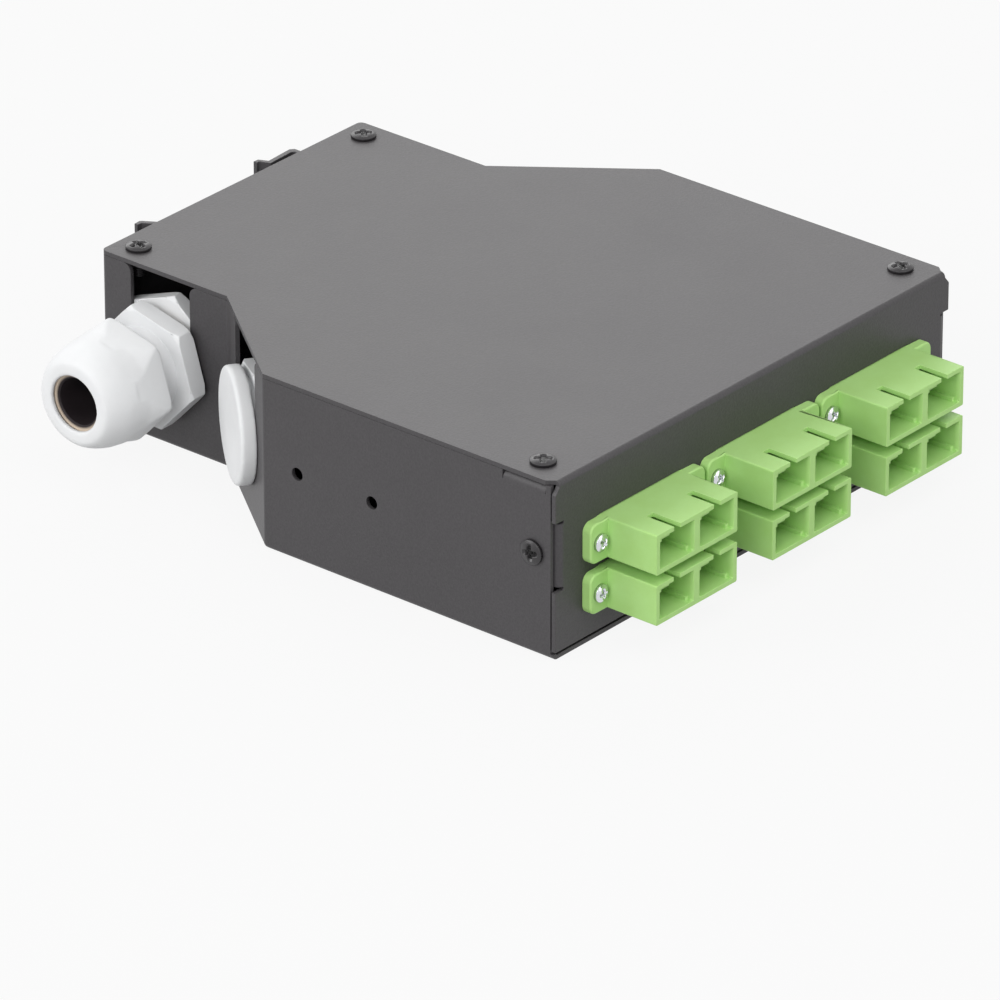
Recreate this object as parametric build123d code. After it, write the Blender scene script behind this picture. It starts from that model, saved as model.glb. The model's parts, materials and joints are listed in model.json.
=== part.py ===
from build123d import *
import math
import os

# Rail-mounted fibre splice box: a folded sheet housing with a screwed cover, six duplex
# couplers on its front, a cable gland, a blanked entry and a sprung clip for a 35 mm rail.
# Millimetres. Origin at the middle of the base's underside, +Z up, couplers towards -Y.

os.makedirs("parts", exist_ok=True)

# Housing
box_width = 128.0
box_depth = 142.0
box_height = 40.0
rear_width = 83.0
rear_straight = 35.0
shoulder_run = 29.5
sheet = 1.0
bend_outer = 2.0
wall_bend = 1.3
lid_gap = 0.06
wall_setback = 1.3
plate_setback = 0.6
lid_corner = 2.5

# Front panel and its side tabs
panel_lift = 2.0
tab_low = 16.1
tab_high = 30.3
tab_depth = 12.0
tab_bend = 1.4
relief = 0.7
tab_gap = 0.2
corner_notch = 0.6

# Screws of the cover
lid_screw_rear_in = (5.5, 5.6)
lid_screw_front_in = (6.0, 8.2)
cover_screw_d = 3.0
cover_head_d = 6.0
cover_head_h = 1.9
cover_shank = 6.0
recess_w = 0.9
recess_depth = 1.1
side_screw_in = 6.0
side_screw_z = 23.0
ear_width_front = 11.0
ear_width_rear = 7.0
ear_reach = 10.5
ear_leg = 4.0
ear_relief = 0.8
screw_play = 0.2
thread_play = 0.05
hex_rim_share = 0.55

# Duplex couplers
coupler_pitch = 37.3
coupler_low_z = 12.0
coupler_row_pitch = 11.35
body_w = 25.8
body_h = 9.0
nose_out = 14.8
nose_in = 13.6
flange_w = 36.6
flange_h = 9.0
flange_t = 2.2
flange_corner = 2.0
port_pitch = 12.7
port_w = 10.0
port_floor = 1.1
port_roof = 1.0
port_flare = 0.45
key_w = 2.0
key_length = 7.2
guide_setback = 1.2
guide_drop = 1.3
fill_w = 0.6
fill_h = 1.2
rail_h = 0.9
rail_w = 0.8
bulkhead_t = 2.4
cutout_play = 0.2
hole_pitch = 30.8
coupler_screw_d = 2.0
coupler_head_d = 3.9
coupler_head_h = 1.3
coupler_nut_af = 4.0
coupler_nut_t = 1.6
coupler_shank_spare = 0.8

# Ferrule holders and sleeves inside the couplers
holder_barrel_d = 4.6
holder_length = 15.0
holder_plate_t = 1.8
holder_plate_w = 8.6
holder_plate_h = 5.2
arm_length = 6.5
arm_t = 0.8
arm_w = 2.6
arm_offset = 3.9
arm_barb = 0.5
sleeve_outer_d = 3.2
sleeve_bore_d = 2.5
sleeve_length = 11.4
sleeve_slit = 0.4
sleeve_fit = 0.05

# Cable gland
entry_in = 16.4
entry_z = 19.5
gland_slot_w = 16.4
ear_radius = 2.0
gland_thread_d = 16.0
gland_bore_d = 11.0
gasket_t = 0.8
gasket_rim = 2.5
gland_flange_af = 24.0
gland_flange_t = 4.6
gland_flange_turn = 16.8
gland_inner_length = 8.5
gland_neck_d = 18.6
gland_neck_length = 13.0
dome_gap = 5.2
dome_af = 23.5
dome_turn = 16.8
dome_corner_d = 26.8
dome_hex_length = 9.0
dome_round_d = 24.0
dome_straight = 11.2
dome_length = 16.7
dome_end_d = 17.6
dome_mouth_d = 12.4
dome_lip = 1.2
thread_fit = 0.05
cage_fingers = 8
cage_length = 5.0
seal_rise = 2.5
cage_wall = 1.1
cage_taper = 1.0
seal_length = 12.0
seal_bore_d = 10.4
lock_nut_af = 26.4
lock_nut_t = 3.4
lock_nut_turn = 9.5

# Blanked entry in the angled shoulder
plug_slot_w = 20.2
plug_stem_d = 20.0
plug_head_d = 25.2
plug_head_t = 3.4
plug_edge = 0.7
plug_stem_length = 9.0
plug_bore_d = 16.0
plug_nut_af = 24.0
plug_nut_t = 5.0
plug_nut_turn = 40.0

# Pair of small open holes in the near side wall
side_hole_d = 2.9
side_hole_pitch = 20.0
side_hole_y = -12.6
side_hole_z = 20.0

# Rail clip on the rear wall
rail_width = 35.0
rail_right_x = 24.0
rail_left_spare = 8.0
rivet_in = 11.0
window_in = 13.0
clip_top_z = 38.0
clip_low_z = 2.0
clip_sheet = 1.2
clip_foot_h = 6.0
slider_t = 1.0
slider_gap = 0.15
hook_gap = 1.5
hook_lip_length = 7.8
hook_flare = 1.9
slider_low_z = 8.3
slider_high_z = 31.7
catch_overlap = 1.6
catch_w = 14.0
catch_t = 1.0
tab_foot_x = 1.6
tab_rise = 4.85
tab_run = 2.8
tab_curl = 1.2
spring_outer_d = 3.2
spring_wire_d = 0.45
spring_turns = 9
spring_length = 13.0
spring_z = 20.0
window_play = 0.3
rivet_d = 3.0
rivet_head_d = 5.2
rivet_head_t = 1.0

# Splice tray and what it stands on
tray_side_gap = 18.0
tray_depth = 56.0
tray_wall = 1.4
tray_height = 9.0
tray_centre_y = -4.0
tray_corner = 14.0
post_d = 7.0
post_stem_d = 5.0
post_height = 12.0
post_inset_x = 8.0
post_inset_y = 20.0
tray_screw_d = 3.0
tray_head_d = 5.6
tray_head_h = 1.8
comb_slots = 6
comb_pitch = 4.6
comb_length = 24.0
comb_wall = 1.2
comb_height = 6.0
hub_d = 26.0
hub_height = 7.0
hub_wall = 1.4
hub_inset = 17.0
gate_width = 16.0

# Cable anchor behind the gland
anchor_width = 14.0
anchor_foot = 12.0
anchor_height = 15.0
anchor_in = 17.5
anchor_rivet_in = 7.0
anchor_slot_pitch = 8.0
anchor_slot_w = 2.6
anchor_slot_h = 5.0
anchor_rivet_d = 3.2
anchor_head_d = 5.6
anchor_head_h = 1.3

# Worked-out planes
front_y = -box_depth / 2
rear_y = box_depth / 2
lid_screw_rear = (rear_width / 2 - lid_screw_rear_in[0], rear_y - lid_screw_rear_in[1])
lid_screw_front = (box_width / 2 - lid_screw_front_in[0], front_y + lid_screw_front_in[1])
side_screw_y = front_y + side_screw_in
entry_y = rear_y - entry_in
anchor_x = anchor_in - rear_width / 2
tray_width = box_width - 2 * tray_side_gap
hub_offset_x = tray_width / 2 - hub_inset
gasket_d = gland_thread_d + 2 * gasket_rim
lid_under = box_height - sheet
wall_top = lid_under - lid_gap
wall_front_y = front_y + wall_setback
plate_front_y = front_y + plate_setback
wall_bend_inner = wall_bend - sheet
side_in = box_width / 2 - sheet
coupler_high_z = coupler_low_z + coupler_row_pitch
flange_front_y = front_y - flange_t
nose_front_y = front_y - nose_out
nose_rear_y = front_y + nose_in
shoulder_turn = math.atan2(box_width / 2 - rear_width / 2, shoulder_run)
knee_y = rear_y - rear_straight
shoulder_y = knee_y - shoulder_run
gland_wall_x = -rear_width / 2
flange_back_x = gland_wall_x - gasket_t
flange_face_x = flange_back_x - gland_flange_t
lock_face_x = gland_wall_x + sheet
cage_foot_r = gland_neck_d / 2 - 0.6
grip_top = gland_neck_length - dome_gap + 0.6
seal_seat_d = 2 * (cage_foot_r - cage_taper - cage_wall)
seal_low = gland_flange_t + gland_neck_length + cage_length + seal_rise - seal_length


def plan_points(inset, reach_y):
    """Corners of the plan outline moved in by inset, with the front edge at reach_y."""
    step = inset * math.tan(shoulder_turn / 2)
    rear_x = rear_width / 2 - inset
    front_x = box_width / 2 - inset
    right = [(rear_x, rear_y - inset), (rear_x, knee_y - step)]
    right += [(front_x, shoulder_y - step), (front_x, reach_y)]
    left = [(-x, y) for x, y in reversed(right)]
    return right + left


def plan_prism(inset, reach_y, low, high):
    """Upright prism on the plan outline, from height low to height high."""
    face = Polygon(*plan_points(inset, reach_y), align=None)
    return Pos(0, 0, low) * extrude(face, amount=high - low, dir=(0, 0, 1))


def upright_edges(solid, behind):
    """Vertical edges of a prism that lie behind the plane y = behind."""
    return solid.edges().filter_by(Axis.Z).filter_by(lambda e: e.center().Y > behind)


def low_edges(solid, behind):
    """Edges round the underside of a prism, without the one along its open front."""
    return solid.edges().group_by(Axis.Z)[0].filter_by(lambda e: e.center().Y > behind)


def wall_plane(x, y, z, normal_x, normal_y):
    """Plane on an upright wall, with its own Y up and its own Z outwards."""
    return Plane(origin=(x, y, z), x_dir=(-normal_y, normal_x, 0), z_dir=(normal_x, normal_y, 0))


def bent_angle(long_leg, short_leg, thick=sheet, outer=bend_outer):
    """Section of a folded corner at the origin: one leg along +X, one along -Y."""
    points = [(0, 0), (long_leg, 0), (long_leg, -thick)]
    points += [(thick, -thick), (thick, -short_leg), (0, -short_leg)]
    face = Polygon(*points, align=None)
    outside = face.vertices().sort_by_distance((0, 0, 0))[0]
    face = fillet(outside, outer)
    inside = face.vertices().sort_by_distance((thick, -thick, 0))[0]
    return fillet(inside, outer - thick)


def hexagon(across_flats, turn=0):
    """Hexagon with one corner up, turned by turn degrees."""
    return Rot(0, 0, turn) * RegularPolygon(across_flats / 2, 6, major_radius=False, rotation=30)


def turned_hex_nut(across_flats, thick, turn=0):
    """Hexagonal prism with the corners of both rims turned down, on the XY plane."""
    prism = extrude(hexagon(across_flats, turn), amount=thick)
    corner = across_flats / 2 / math.cos(math.pi / 6)
    cut = (corner - across_flats / 2) * hex_rim_share
    blank = Cylinder(corner, thick, align=(Align.CENTER, Align.CENTER, Align.MIN))
    return prism & chamfer(blank.edges().filter_by(GeomType.CIRCLE), cut * 0.6, cut)


def cross_recess(width, across, deep):
    """Tapered cross that a driver fits, pointing down from the XY plane."""
    bars = Rectangle(across, width) + Rectangle(width, across)
    return extrude(bars, amount=-deep, taper=12)


def pan_screw(head_d, head_h, shank_d, length, recess=True):
    """Pan-head screw with its head on the XY plane and its shank pointing down."""
    crown = head_h * 0.45
    profile = Polyline((0, head_h), (head_d * 0.18, head_h))
    dome = ThreePointArc((head_d * 0.18, head_h), (head_d * 0.4, head_h - crown * 0.45), (head_d / 2, crown))
    rest = Polyline((head_d / 2, crown), (head_d / 2, 0), (shank_d / 2, 0), (shank_d / 2, -length + 0.4),
                    (shank_d / 2 - 0.4, -length), (0, -length), (0, head_h))
    face = make_face(Plane.XZ * (profile + dome + rest))
    screw = revolve(face, axis=Axis.Z)
    if recess:
        screw -= Pos(0, 0, head_h + 0.2) * Rot(0, 0, 27) * cross_recess(recess_w, head_d * 0.56, recess_depth + 0.2)
    return screw


def along(direction, x, y, z):
    """Location at a point with its own Z turned to the given direction."""
    return Plane(origin=(x, y, z), z_dir=direction).location


def both_sides(make):
    """The shapes that make gives for the left side and for the right side."""
    return [make(side) for side in (-1, 1)]


def entry_slot(plane, width):
    """Open-topped slot with a round bottom and rounded ears, cut through a wall."""
    rise = wall_top - entry_z
    radius = width / 2
    neck = Circle(radius) + Pos(0, rise / 2 + 1) * Rectangle(width, rise + 2)
    mouth = Pos(0, rise - ear_radius / 2) * Rectangle(width + 2 * ear_radius, ear_radius)
    for side in (-1, 1):
        mouth -= Pos(side * (radius + ear_radius), rise - ear_radius) * Circle(ear_radius)
    return extrude(plane * (neck + mouth), amount=3 * sheet, both=True)


gland_plane = wall_plane(gland_wall_x, entry_y, entry_z, -1, 0)
shoulder_nx = -math.cos(shoulder_turn)
shoulder_ny = math.sin(shoulder_turn)
plug_plane = wall_plane(
    -(rear_width + box_width) / 4, (knee_y + shoulder_y) / 2, entry_z, shoulder_nx, shoulder_ny
)

coupler_places = [
    (column * coupler_pitch, z)
    for z in (coupler_high_z, coupler_low_z)
    for column in (-1, 0, 1)
]
lid_screw_places = [
    (side * x, y) for x, y in (lid_screw_rear, lid_screw_front) for side in (-1, 1)
]
hook_t = slider_gap * 2 + slider_t
clip_back_y = rear_y + hook_t
clip_face_y = clip_back_y + clip_sheet
hook_inner_y = clip_face_y + hook_gap
slider_back_y = rear_y + slider_gap
rail_left_x = rail_right_x - rail_width
clip_left_x = rail_left_x - rail_left_spare
rivet_places = [
    (x, z)
    for x in (rail_left_x + rivet_in, rail_right_x - rivet_in)
    for z in (clip_low_z + clip_foot_h / 2, clip_top_z - clip_foot_h / 2)
]
window_mid_x = rail_left_x + window_in
anchor_rivet_x = anchor_x + anchor_rivet_in
post_places = [
    (side * (tray_width / 2 - post_inset_x), tray_centre_y + end * post_inset_y)
    for side in (-1, 1)
    for end in (-1, 1)
]


def with_ear(shell, place, inward, width):
    """Shell with a folded ear at a wall top, for a cover screw to bite into."""
    plane = Plane(origin=place, x_dir=inward, z_dir=(-inward[1], inward[0], 0))
    rising = plane.y_dir.Z
    section = bent_angle(ear_reach + sheet, ear_leg)
    if rising < 0:
        section = mirror(section, about=Plane.XZ)
    notch = Box(3 * sheet, 2 * bend_outer, width + 2 * ear_relief)
    shell -= plane.location * notch
    return shell + extrude(plane * section, amount=width / 2, both=True)


def make_base_shell():
    """Floor and walls, folded from one sheet, with slots, ears and holes."""
    outer = plan_prism(0, plate_front_y, 0, wall_top)
    outer = fillet(upright_edges(outer, plate_front_y + 1), wall_bend)
    outer = fillet(low_edges(outer, plate_front_y + 1), wall_bend)
    inner = plan_prism(sheet, front_y - 10, sheet, box_height)
    inner = fillet(upright_edges(inner, front_y), wall_bend_inner)
    inner = fillet(low_edges(inner, front_y - 5), wall_bend_inner)
    shell = outer - inner
    trim_depth = wall_front_y - plate_front_y
    trim = Box(box_width + 2, 2 * trim_depth, box_height)
    shell -= Pos(0, plate_front_y, sheet + wall_bend_inner + box_height / 2) * trim
    for side in (-1, 1):
        rear_place = (side * lid_screw_rear[0], rear_y, wall_top)
        front_place = (side * box_width / 2, lid_screw_front[1], wall_top)
        shell = with_ear(shell, rear_place, (0, -1, 0), ear_width_rear)
        shell = with_ear(shell, front_place, (-side, 0, 0), ear_width_front)
        shell -= Pos(side * box_width / 2, side_screw_y, side_screw_z) * Rot(0, 90, 0) * Cylinder(
            cover_screw_d / 2 + screw_play, 4 * sheet
        )
    shell -= entry_slot(gland_plane, gland_slot_w)
    shell -= entry_slot(plug_plane, plug_slot_w)
    for x, y in lid_screw_places:
        shell -= Pos(x, y, wall_top) * Cylinder(cover_screw_d / 2 + thread_play, 4 * sheet)
    for step in (-0.5, 0.5):
        hole = Rot(0, 90, 0) * Cylinder(side_hole_d / 2, 4 * sheet)
        shell -= Pos(-box_width / 2, side_hole_y + step * side_hole_pitch, side_hole_z) * hole
    for x, z in rivet_places:
        shell -= Pos(x, rear_y, z) * Rot(90, 0, 0) * Cylinder(rivet_d / 2 + thread_play, 4 * sheet)
    for x, y in post_places:
        shell -= Pos(x, y, 0) * Cylinder(post_stem_d / 2 + thread_play, 4 * sheet)
    shell -= Pos(anchor_rivet_x, entry_y, 0) * Cylinder(anchor_rivet_d / 2 + thread_play, 4 * sheet)
    return shell


def make_cover():
    """Lid and front panel, folded from one sheet, with tabs bent in at its sides."""
    long_leg = box_depth
    section = bent_angle(long_leg, box_height - panel_lift)
    folded = Plane(origin=(0, front_y, box_height), x_dir=(0, 1, 0), z_dir=(1, 0, 0)) * section
    cover = extrude(folded, amount=box_width / 2, both=True)
    outline = plan_prism(0, front_y - 1, 0, box_height + 1)
    outline = fillet(upright_edges(outline, knee_y + 1), lid_corner)
    cover &= outline
    edge_x = side_in - tab_gap
    for side in (-1, 1):
        notch = Box(2 * corner_notch, 2 * bend_outer, 2 * bend_outer)
        cover -= Pos(side * box_width / 2, front_y, box_height) * notch
        band_mid = (tab_low + tab_high) / 2
        band_height = tab_high - tab_low + 2 * relief
        band = Box(2 * (box_width / 2 - edge_x + tab_bend), 3 * sheet, band_height)
        cover -= Pos(side * box_width / 2, front_y, band_mid) * band
        tab_section = bent_angle(tab_bend + 1, tab_depth, sheet, tab_bend)
        tab_plane = Plane(origin=(side * edge_x, front_y, band_mid), x_dir=(-side, 0, 0), z_dir=(0, 0, side))
        cover += extrude(tab_plane * tab_section, amount=(tab_high - tab_low) / 2, both=True)
        cover -= Pos(side * edge_x, side_screw_y, side_screw_z) * Rot(0, 90, 0) * Cylinder(
            cover_screw_d / 2 + thread_play, 4 * sheet
        )
    for x, y in lid_screw_places:
        cover -= Pos(x, y, box_height) * Cylinder(cover_screw_d / 2 + screw_play, 4 * sheet)
    for x, z in coupler_places:
        window = Box(body_w + 2 * cutout_play, 4 * sheet, body_h + 2 * cutout_play)
        cover -= Pos(x, front_y, z) * window
        for side in (-1, 1):
            hole = Rot(90, 0, 0) * Cylinder(coupler_screw_d / 2 + screw_play, 4 * sheet)
            cover -= Pos(x + side * hole_pitch / 2, front_y, z) * hole
    return cover


def facing(sign, y, z=0.0):
    """Upright plane across the ports, looking towards sign * Y, with X kept level."""
    return Plane(origin=(0, y, z), x_dir=(1, 0, 0), z_dir=(0, sign, 0))


def port_cut(sign, mouth_y, depth):
    """Socket of one port with a flared mouth, running from mouth_y towards sign * Y."""
    height = body_h - port_floor - port_roof
    plane = facing(sign, mouth_y, (port_floor - port_roof) / 2)
    socket = extrude(plane * Rectangle(port_w, height), amount=depth)
    mouth = extrude(plane * Rectangle(port_w + 2 * port_flare, height), amount=2 * port_flare, taper=27)
    return socket + mouth


def port_guides(port_x, sign, mouth_y, depth):
    """Rails along the port's floor and the stepped guide under its roof."""
    roof_z = body_h / 2 - port_roof
    floor_z = -body_h / 2 + port_floor
    wall_x = port_x - port_w / 2
    reach = depth - guide_setback
    mid_y = mouth_y + sign * (guide_setback + reach / 2)
    rail = Pos(0, mid_y, floor_z) * Box(2 * rail_w, reach, 2 * rail_h)
    guides = Pos(wall_x, 0, 0) * rail + Pos(wall_x + port_w, 0, 0) * rail
    block_w = (port_w - key_w) / 2
    block = Box(block_w + 0.2, reach, guide_drop + 0.2)
    guides += Pos(wall_x + block_w / 2 - 0.1, mid_y, roof_z - guide_drop / 2 + 0.1) * block
    fill = Box(2 * fill_w, depth, fill_h + 0.2)
    fill_y = mouth_y + sign * (depth / 2 + port_flare)
    return guides + Pos(wall_x, fill_y, roof_z - fill_h / 2 + 0.1) * fill


def make_coupler_housing(x, z):
    """Moulded outer body of one duplex coupler, with its flange, ports and key slots."""
    length = nose_out + nose_in
    middle_y = (nose_front_y + nose_rear_y) / 2
    body = Pos(0, middle_y, 0) * Box(body_w, length, body_h)
    body = fillet(body.edges().filter_by(Axis.Y), 0.35)
    flange = extrude(facing(-1, front_y) * RectangleRounded(flange_w, flange_h, flange_corner), amount=flange_t)
    flange = chamfer(flange.faces().sort_by(Axis.Y)[0].edges(), 0.3)
    housing = body + flange
    depth = (length - bulkhead_t) / 2
    port_xs = (-port_pitch / 2, port_pitch / 2)
    mouths = ((1, nose_front_y), (-1, nose_rear_y))
    for port_x in port_xs:
        for sign, mouth_y in mouths:
            housing -= Pos(port_x, 0, 0) * port_cut(sign, mouth_y, depth)
            housing += port_guides(port_x, sign, mouth_y, depth)
            housing -= Pos(port_x, mouth_y, body_h / 2) * Box(key_w, 2 * key_length, 2 * port_roof)
        housing -= Pos(port_x, middle_y, 0) * Box(holder_plate_w, bulkhead_t + 0.2, holder_plate_h)
    for side in (-1, 1):
        hole = Cylinder(coupler_screw_d / 2 + screw_play / 2, 4 * flange_t)
        housing -= Pos(side * hole_pitch / 2, front_y - flange_t / 2, 0) * Rot(90, 0, 0) * hole
    return Pos(x, 0, z) * housing


def make_ferrule_holder(x, z):
    """One socket's inner holder: a barrel on a plate, with two barbed arms each way."""
    middle_y = (nose_front_y + nose_rear_y) / 2
    plate = Box(holder_plate_w, holder_plate_t, holder_plate_h)
    barrel = Rot(90, 0, 0) * Cylinder(holder_barrel_d / 2, holder_length)
    holder = plate + barrel
    for end in (-1, 1):
        for hand in (-1, 1):
            arm = Box(arm_t, arm_length, arm_w)
            arm_y = end * (holder_plate_t / 2 + arm_length / 2)
            holder += Pos(hand * arm_offset, arm_y, 0) * arm
            barb = Box(arm_barb, 1.2, arm_w)
            barb_x = hand * (arm_offset - arm_t / 2 - arm_barb / 2)
            barb_y = end * (holder_plate_t / 2 + arm_length - 0.6)
            holder += Pos(barb_x, barb_y, 0) * barb
    holder -= Rot(90, 0, 0) * Cylinder(sleeve_outer_d / 2 + sleeve_fit, sleeve_length + 2 * sleeve_fit)
    holder -= Rot(90, 0, 0) * Cylinder(sleeve_bore_d / 2 + sleeve_fit, 2 * holder_length)
    return Pos(x, middle_y, z) * holder


def make_split_sleeve(x, z):
    """Slit ceramic sleeve that lines up the two ferrules."""
    middle_y = (nose_front_y + nose_rear_y) / 2
    sleeve = Cylinder(sleeve_outer_d / 2, sleeve_length) - Cylinder(sleeve_bore_d / 2, 2 * sleeve_length)
    sleeve -= Pos(0, sleeve_outer_d / 2, 0) * Box(sleeve_slit, sleeve_outer_d, 2 * sleeve_length)
    return Pos(x, middle_y, z) * Rot(90, 0, 0) * sleeve


def make_coupler_screw(x, z):
    """Small screw through the flange, the panel and its nut."""
    length = flange_t + sheet + coupler_nut_t + coupler_shank_spare
    screw = pan_screw(coupler_head_d, coupler_head_h, coupler_screw_d, length, recess=False)
    return along((0, -1, 0), x, flange_front_y, z) * screw


def make_coupler_nut(x, z):
    """Hexagonal nut behind the panel."""
    nut = extrude(hexagon(coupler_nut_af), amount=coupler_nut_t)
    nut -= Cylinder(coupler_screw_d / 2 + thread_play, 6 * coupler_nut_t)
    return along((0, 1, 0), x, front_y + sheet, z) * nut


def make_cover_screw(direction, x, y, z):
    """Black cover screw with its head standing on the point given."""
    return along(direction, x, y, z) * pan_screw(cover_head_d, cover_head_h, cover_screw_d, cover_shank)


def gland_axis(x):
    """Location on the gland's axis with its own Z pointing out of the wall."""
    return Plane(origin=(x, entry_y, entry_z), x_dir=(0, -1, 0), z_dir=(-1, 0, 0)).location


def make_gland_body():
    """Gland body: threaded stem, hexagon, neck and clamping fingers, bored through."""
    stem_length = gasket_t + sheet + gland_inner_length
    stem = Pos(0, 0, -stem_length) * Cylinder(
        gland_thread_d / 2, stem_length, align=(Align.CENTER, Align.CENTER, Align.MIN)
    )
    flange = turned_hex_nut(gland_flange_af, gland_flange_t, gland_flange_turn)
    neck = Pos(0, 0, gland_flange_t) * Cylinder(
        gland_neck_d / 2, gland_neck_length, align=(Align.CENTER, Align.CENTER, Align.MIN)
    )
    cage = Pos(0, 0, gland_flange_t + gland_neck_length) * Cone(
        cage_foot_r, cage_foot_r - cage_taper, cage_length, align=(Align.CENTER, Align.CENTER, Align.MIN)
    )
    body = stem + flange + neck + cage
    body -= Pos(0, 0, seal_low) * Cylinder(
        seal_seat_d / 2, 3 * seal_length, align=(Align.CENTER, Align.CENTER, Align.MIN)
    )
    body -= Cylinder(gland_bore_d / 2, 8 * stem_length)
    cut_height = gland_flange_t + gland_neck_length + 0.5
    for finger in range(cage_fingers):
        cut = Pos(gland_neck_d / 2, 0, cage_length / 2 + 1) * Box(gland_neck_d, 0.8, cage_length + 2)
        body -= Pos(0, 0, cut_height) * Rot(0, 0, 360 / cage_fingers * finger) * cut
    return gland_axis(flange_back_x) * body


def make_gland_seal():
    """Rubber seal held by the fingers."""
    outer_r = seal_seat_d / 2 - thread_fit
    ring = Cylinder(outer_r, seal_length, align=(Align.CENTER, Align.CENTER, Align.MIN))
    ring -= Cylinder(seal_bore_d / 2, 4 * seal_length)
    ring = chamfer(ring.edges().filter_by(GeomType.CIRCLE).sort_by(Axis.Z)[-1], 0.3)
    return gland_axis(flange_back_x) * Pos(0, 0, seal_low) * ring


def make_dome_nut():
    """Clamping nut: a round body with six flats at its foot and an open domed end."""
    corner = dome_corner_d / 2
    side = dome_round_d / 2
    end = dome_end_d / 2
    foot = Polyline(
        (0, 0), (corner - 0.9, 0), (corner, 0.6), (corner, 1.8), (side + 0.1, dome_hex_length * 0.7),
        (side, dome_hex_length * 0.8), (side, dome_straight),
    )
    arc = Bezier(
        (side, dome_straight), (side, dome_straight + (dome_length - dome_straight) * 0.6),
        (end + (side - end) * 0.6, dome_length), (end, dome_length),
    )
    close = Polyline((end, dome_length), (0, dome_length), (0, 0))
    body = revolve(make_face(Plane.XZ * (foot + arc + close)), axis=Axis.Z)
    flats = hexagon(dome_af, dome_turn)
    keep = extrude(flats, amount=dome_hex_length)
    keep += Pos(0, 0, dome_hex_length) * extrude(flats, amount=1.2, taper=-30)
    keep += Pos(0, 0, dome_hex_length + 1) * Cylinder(
        dome_corner_d, dome_length, align=(Align.CENTER, Align.CENTER, Align.MIN)
    )
    nut = body & keep
    nut -= Cylinder(gland_neck_d / 2 + thread_fit, grip_top, align=(Align.CENTER, Align.CENTER, Align.MIN))
    cone_top = dome_length - dome_lip
    nut -= Pos(0, 0, grip_top) * Cone(
        gland_neck_d / 2 + thread_fit, dome_mouth_d / 2 + 0.8, cone_top - grip_top,
        align=(Align.CENTER, Align.CENTER, Align.MIN),
    )
    nut -= Cylinder(dome_mouth_d / 2, 4 * dome_length)
    return gland_axis(flange_face_x - dome_gap) * nut


def make_gland_gasket():
    """Flat gasket between the gland's hexagon and the wall."""
    ring = Cylinder(gasket_d / 2, gasket_t, align=(Align.CENTER, Align.CENTER, Align.MIN))
    ring -= Cylinder(gland_thread_d / 2 + screw_play, 4 * gasket_t)
    return gland_axis(gland_wall_x) * ring


def make_lock_nut():
    """Hexagonal lock nut inside the wall."""
    nut = turned_hex_nut(lock_nut_af, lock_nut_t, lock_nut_turn)
    nut -= Cylinder(gland_thread_d / 2 + thread_play, 4 * lock_nut_t)
    inward = Plane(origin=(lock_face_x, entry_y, entry_z), x_dir=(0, 1, 0), z_dir=(1, 0, 0)).location
    return inward * nut


def make_blank_plug():
    """Blanking plug: a disc with a rounded edge on a hollow threaded stem."""
    rim = plug_head_d / 2
    disc = Cylinder(rim, plug_head_t, align=(Align.CENTER, Align.CENTER, Align.MIN))
    rims = disc.edges().filter_by(GeomType.CIRCLE).sort_by(Axis.Z)
    disc = fillet(rims[-1], plug_edge)
    stem = Cylinder(plug_stem_d / 2, plug_stem_length, align=(Align.CENTER, Align.CENTER, Align.MAX))
    plug = disc + stem
    plug -= Pos(0, 0, plug_head_t / 10) * Cylinder(
        plug_bore_d / 2, 2 * plug_stem_length, align=(Align.CENTER, Align.CENTER, Align.MAX)
    )
    return plug_plane.location * plug


def make_plug_nut():
    """Nut that holds the blanking plug from inside."""
    nut = turned_hex_nut(plug_nut_af, plug_nut_t, plug_nut_turn)
    nut -= Cylinder(plug_stem_d / 2 + thread_play, 4 * plug_nut_t)
    return plug_plane.location * Pos(0, 0, -sheet - plug_nut_t) * nut


def clip_strip(points, low, height):
    """Upright strip on a plan outline given as (x, distance behind the rear wall)."""
    face = Polygon(*[(x, rear_y + t) for x, t in points], align=None)
    return Pos(0, 0, low) * extrude(face, amount=height, dir=(0, 0, 1))


def make_rail_bracket():
    """Folded clip plate with the fixed hook for one edge of the rail."""
    back = clip_back_y - rear_y
    face = back + clip_sheet
    hook_in = face + hook_gap
    hook_out = hook_in + clip_sheet
    bend = rail_right_x + clip_sheet
    lip_x = rail_right_x - hook_lip_length
    points = [(clip_left_x, back), (bend, back), (bend, hook_out - 0.7), (bend - 0.9, hook_out + 0.1)]
    points += [(lip_x + 0.9, hook_out - 0.35), (lip_x - 0.1, hook_out + hook_flare - 0.1)]
    points += [(lip_x - 1.5, hook_out + hook_flare), (lip_x - 1.5, hook_out + hook_flare - 1.0)]
    points += [(lip_x - 0.8, hook_out + hook_flare - 1.0), (lip_x + 0.2, hook_in - 0.35)]
    points += [(rail_right_x - 0.5, hook_in), (rail_right_x, hook_in - 0.5), (rail_right_x, face)]
    points += [(clip_left_x, face)]
    height = clip_top_z - clip_low_z
    bracket = clip_strip(points, clip_low_z, height)
    for low in (clip_low_z, clip_top_z - clip_foot_h):
        foot = Box(bend - clip_left_x, back, clip_foot_h, align=(Align.MIN, Align.MIN, Align.MIN))
        bracket += Pos(clip_left_x, rear_y, low) * foot
    window_x = spring_length + 2 * window_play
    window = Box(window_x, 4 * clip_sheet, spring_outer_d + 2 * window_play)
    bracket -= Pos(window_mid_x, clip_back_y + clip_sheet / 2, spring_z) * window
    for x, z in rivet_places:
        hole = Rot(90, 0, 0) * Cylinder(rivet_d / 2 + thread_play, 8 * clip_sheet)
        bracket -= Pos(x, clip_back_y, z) * hole
    return bracket


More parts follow.
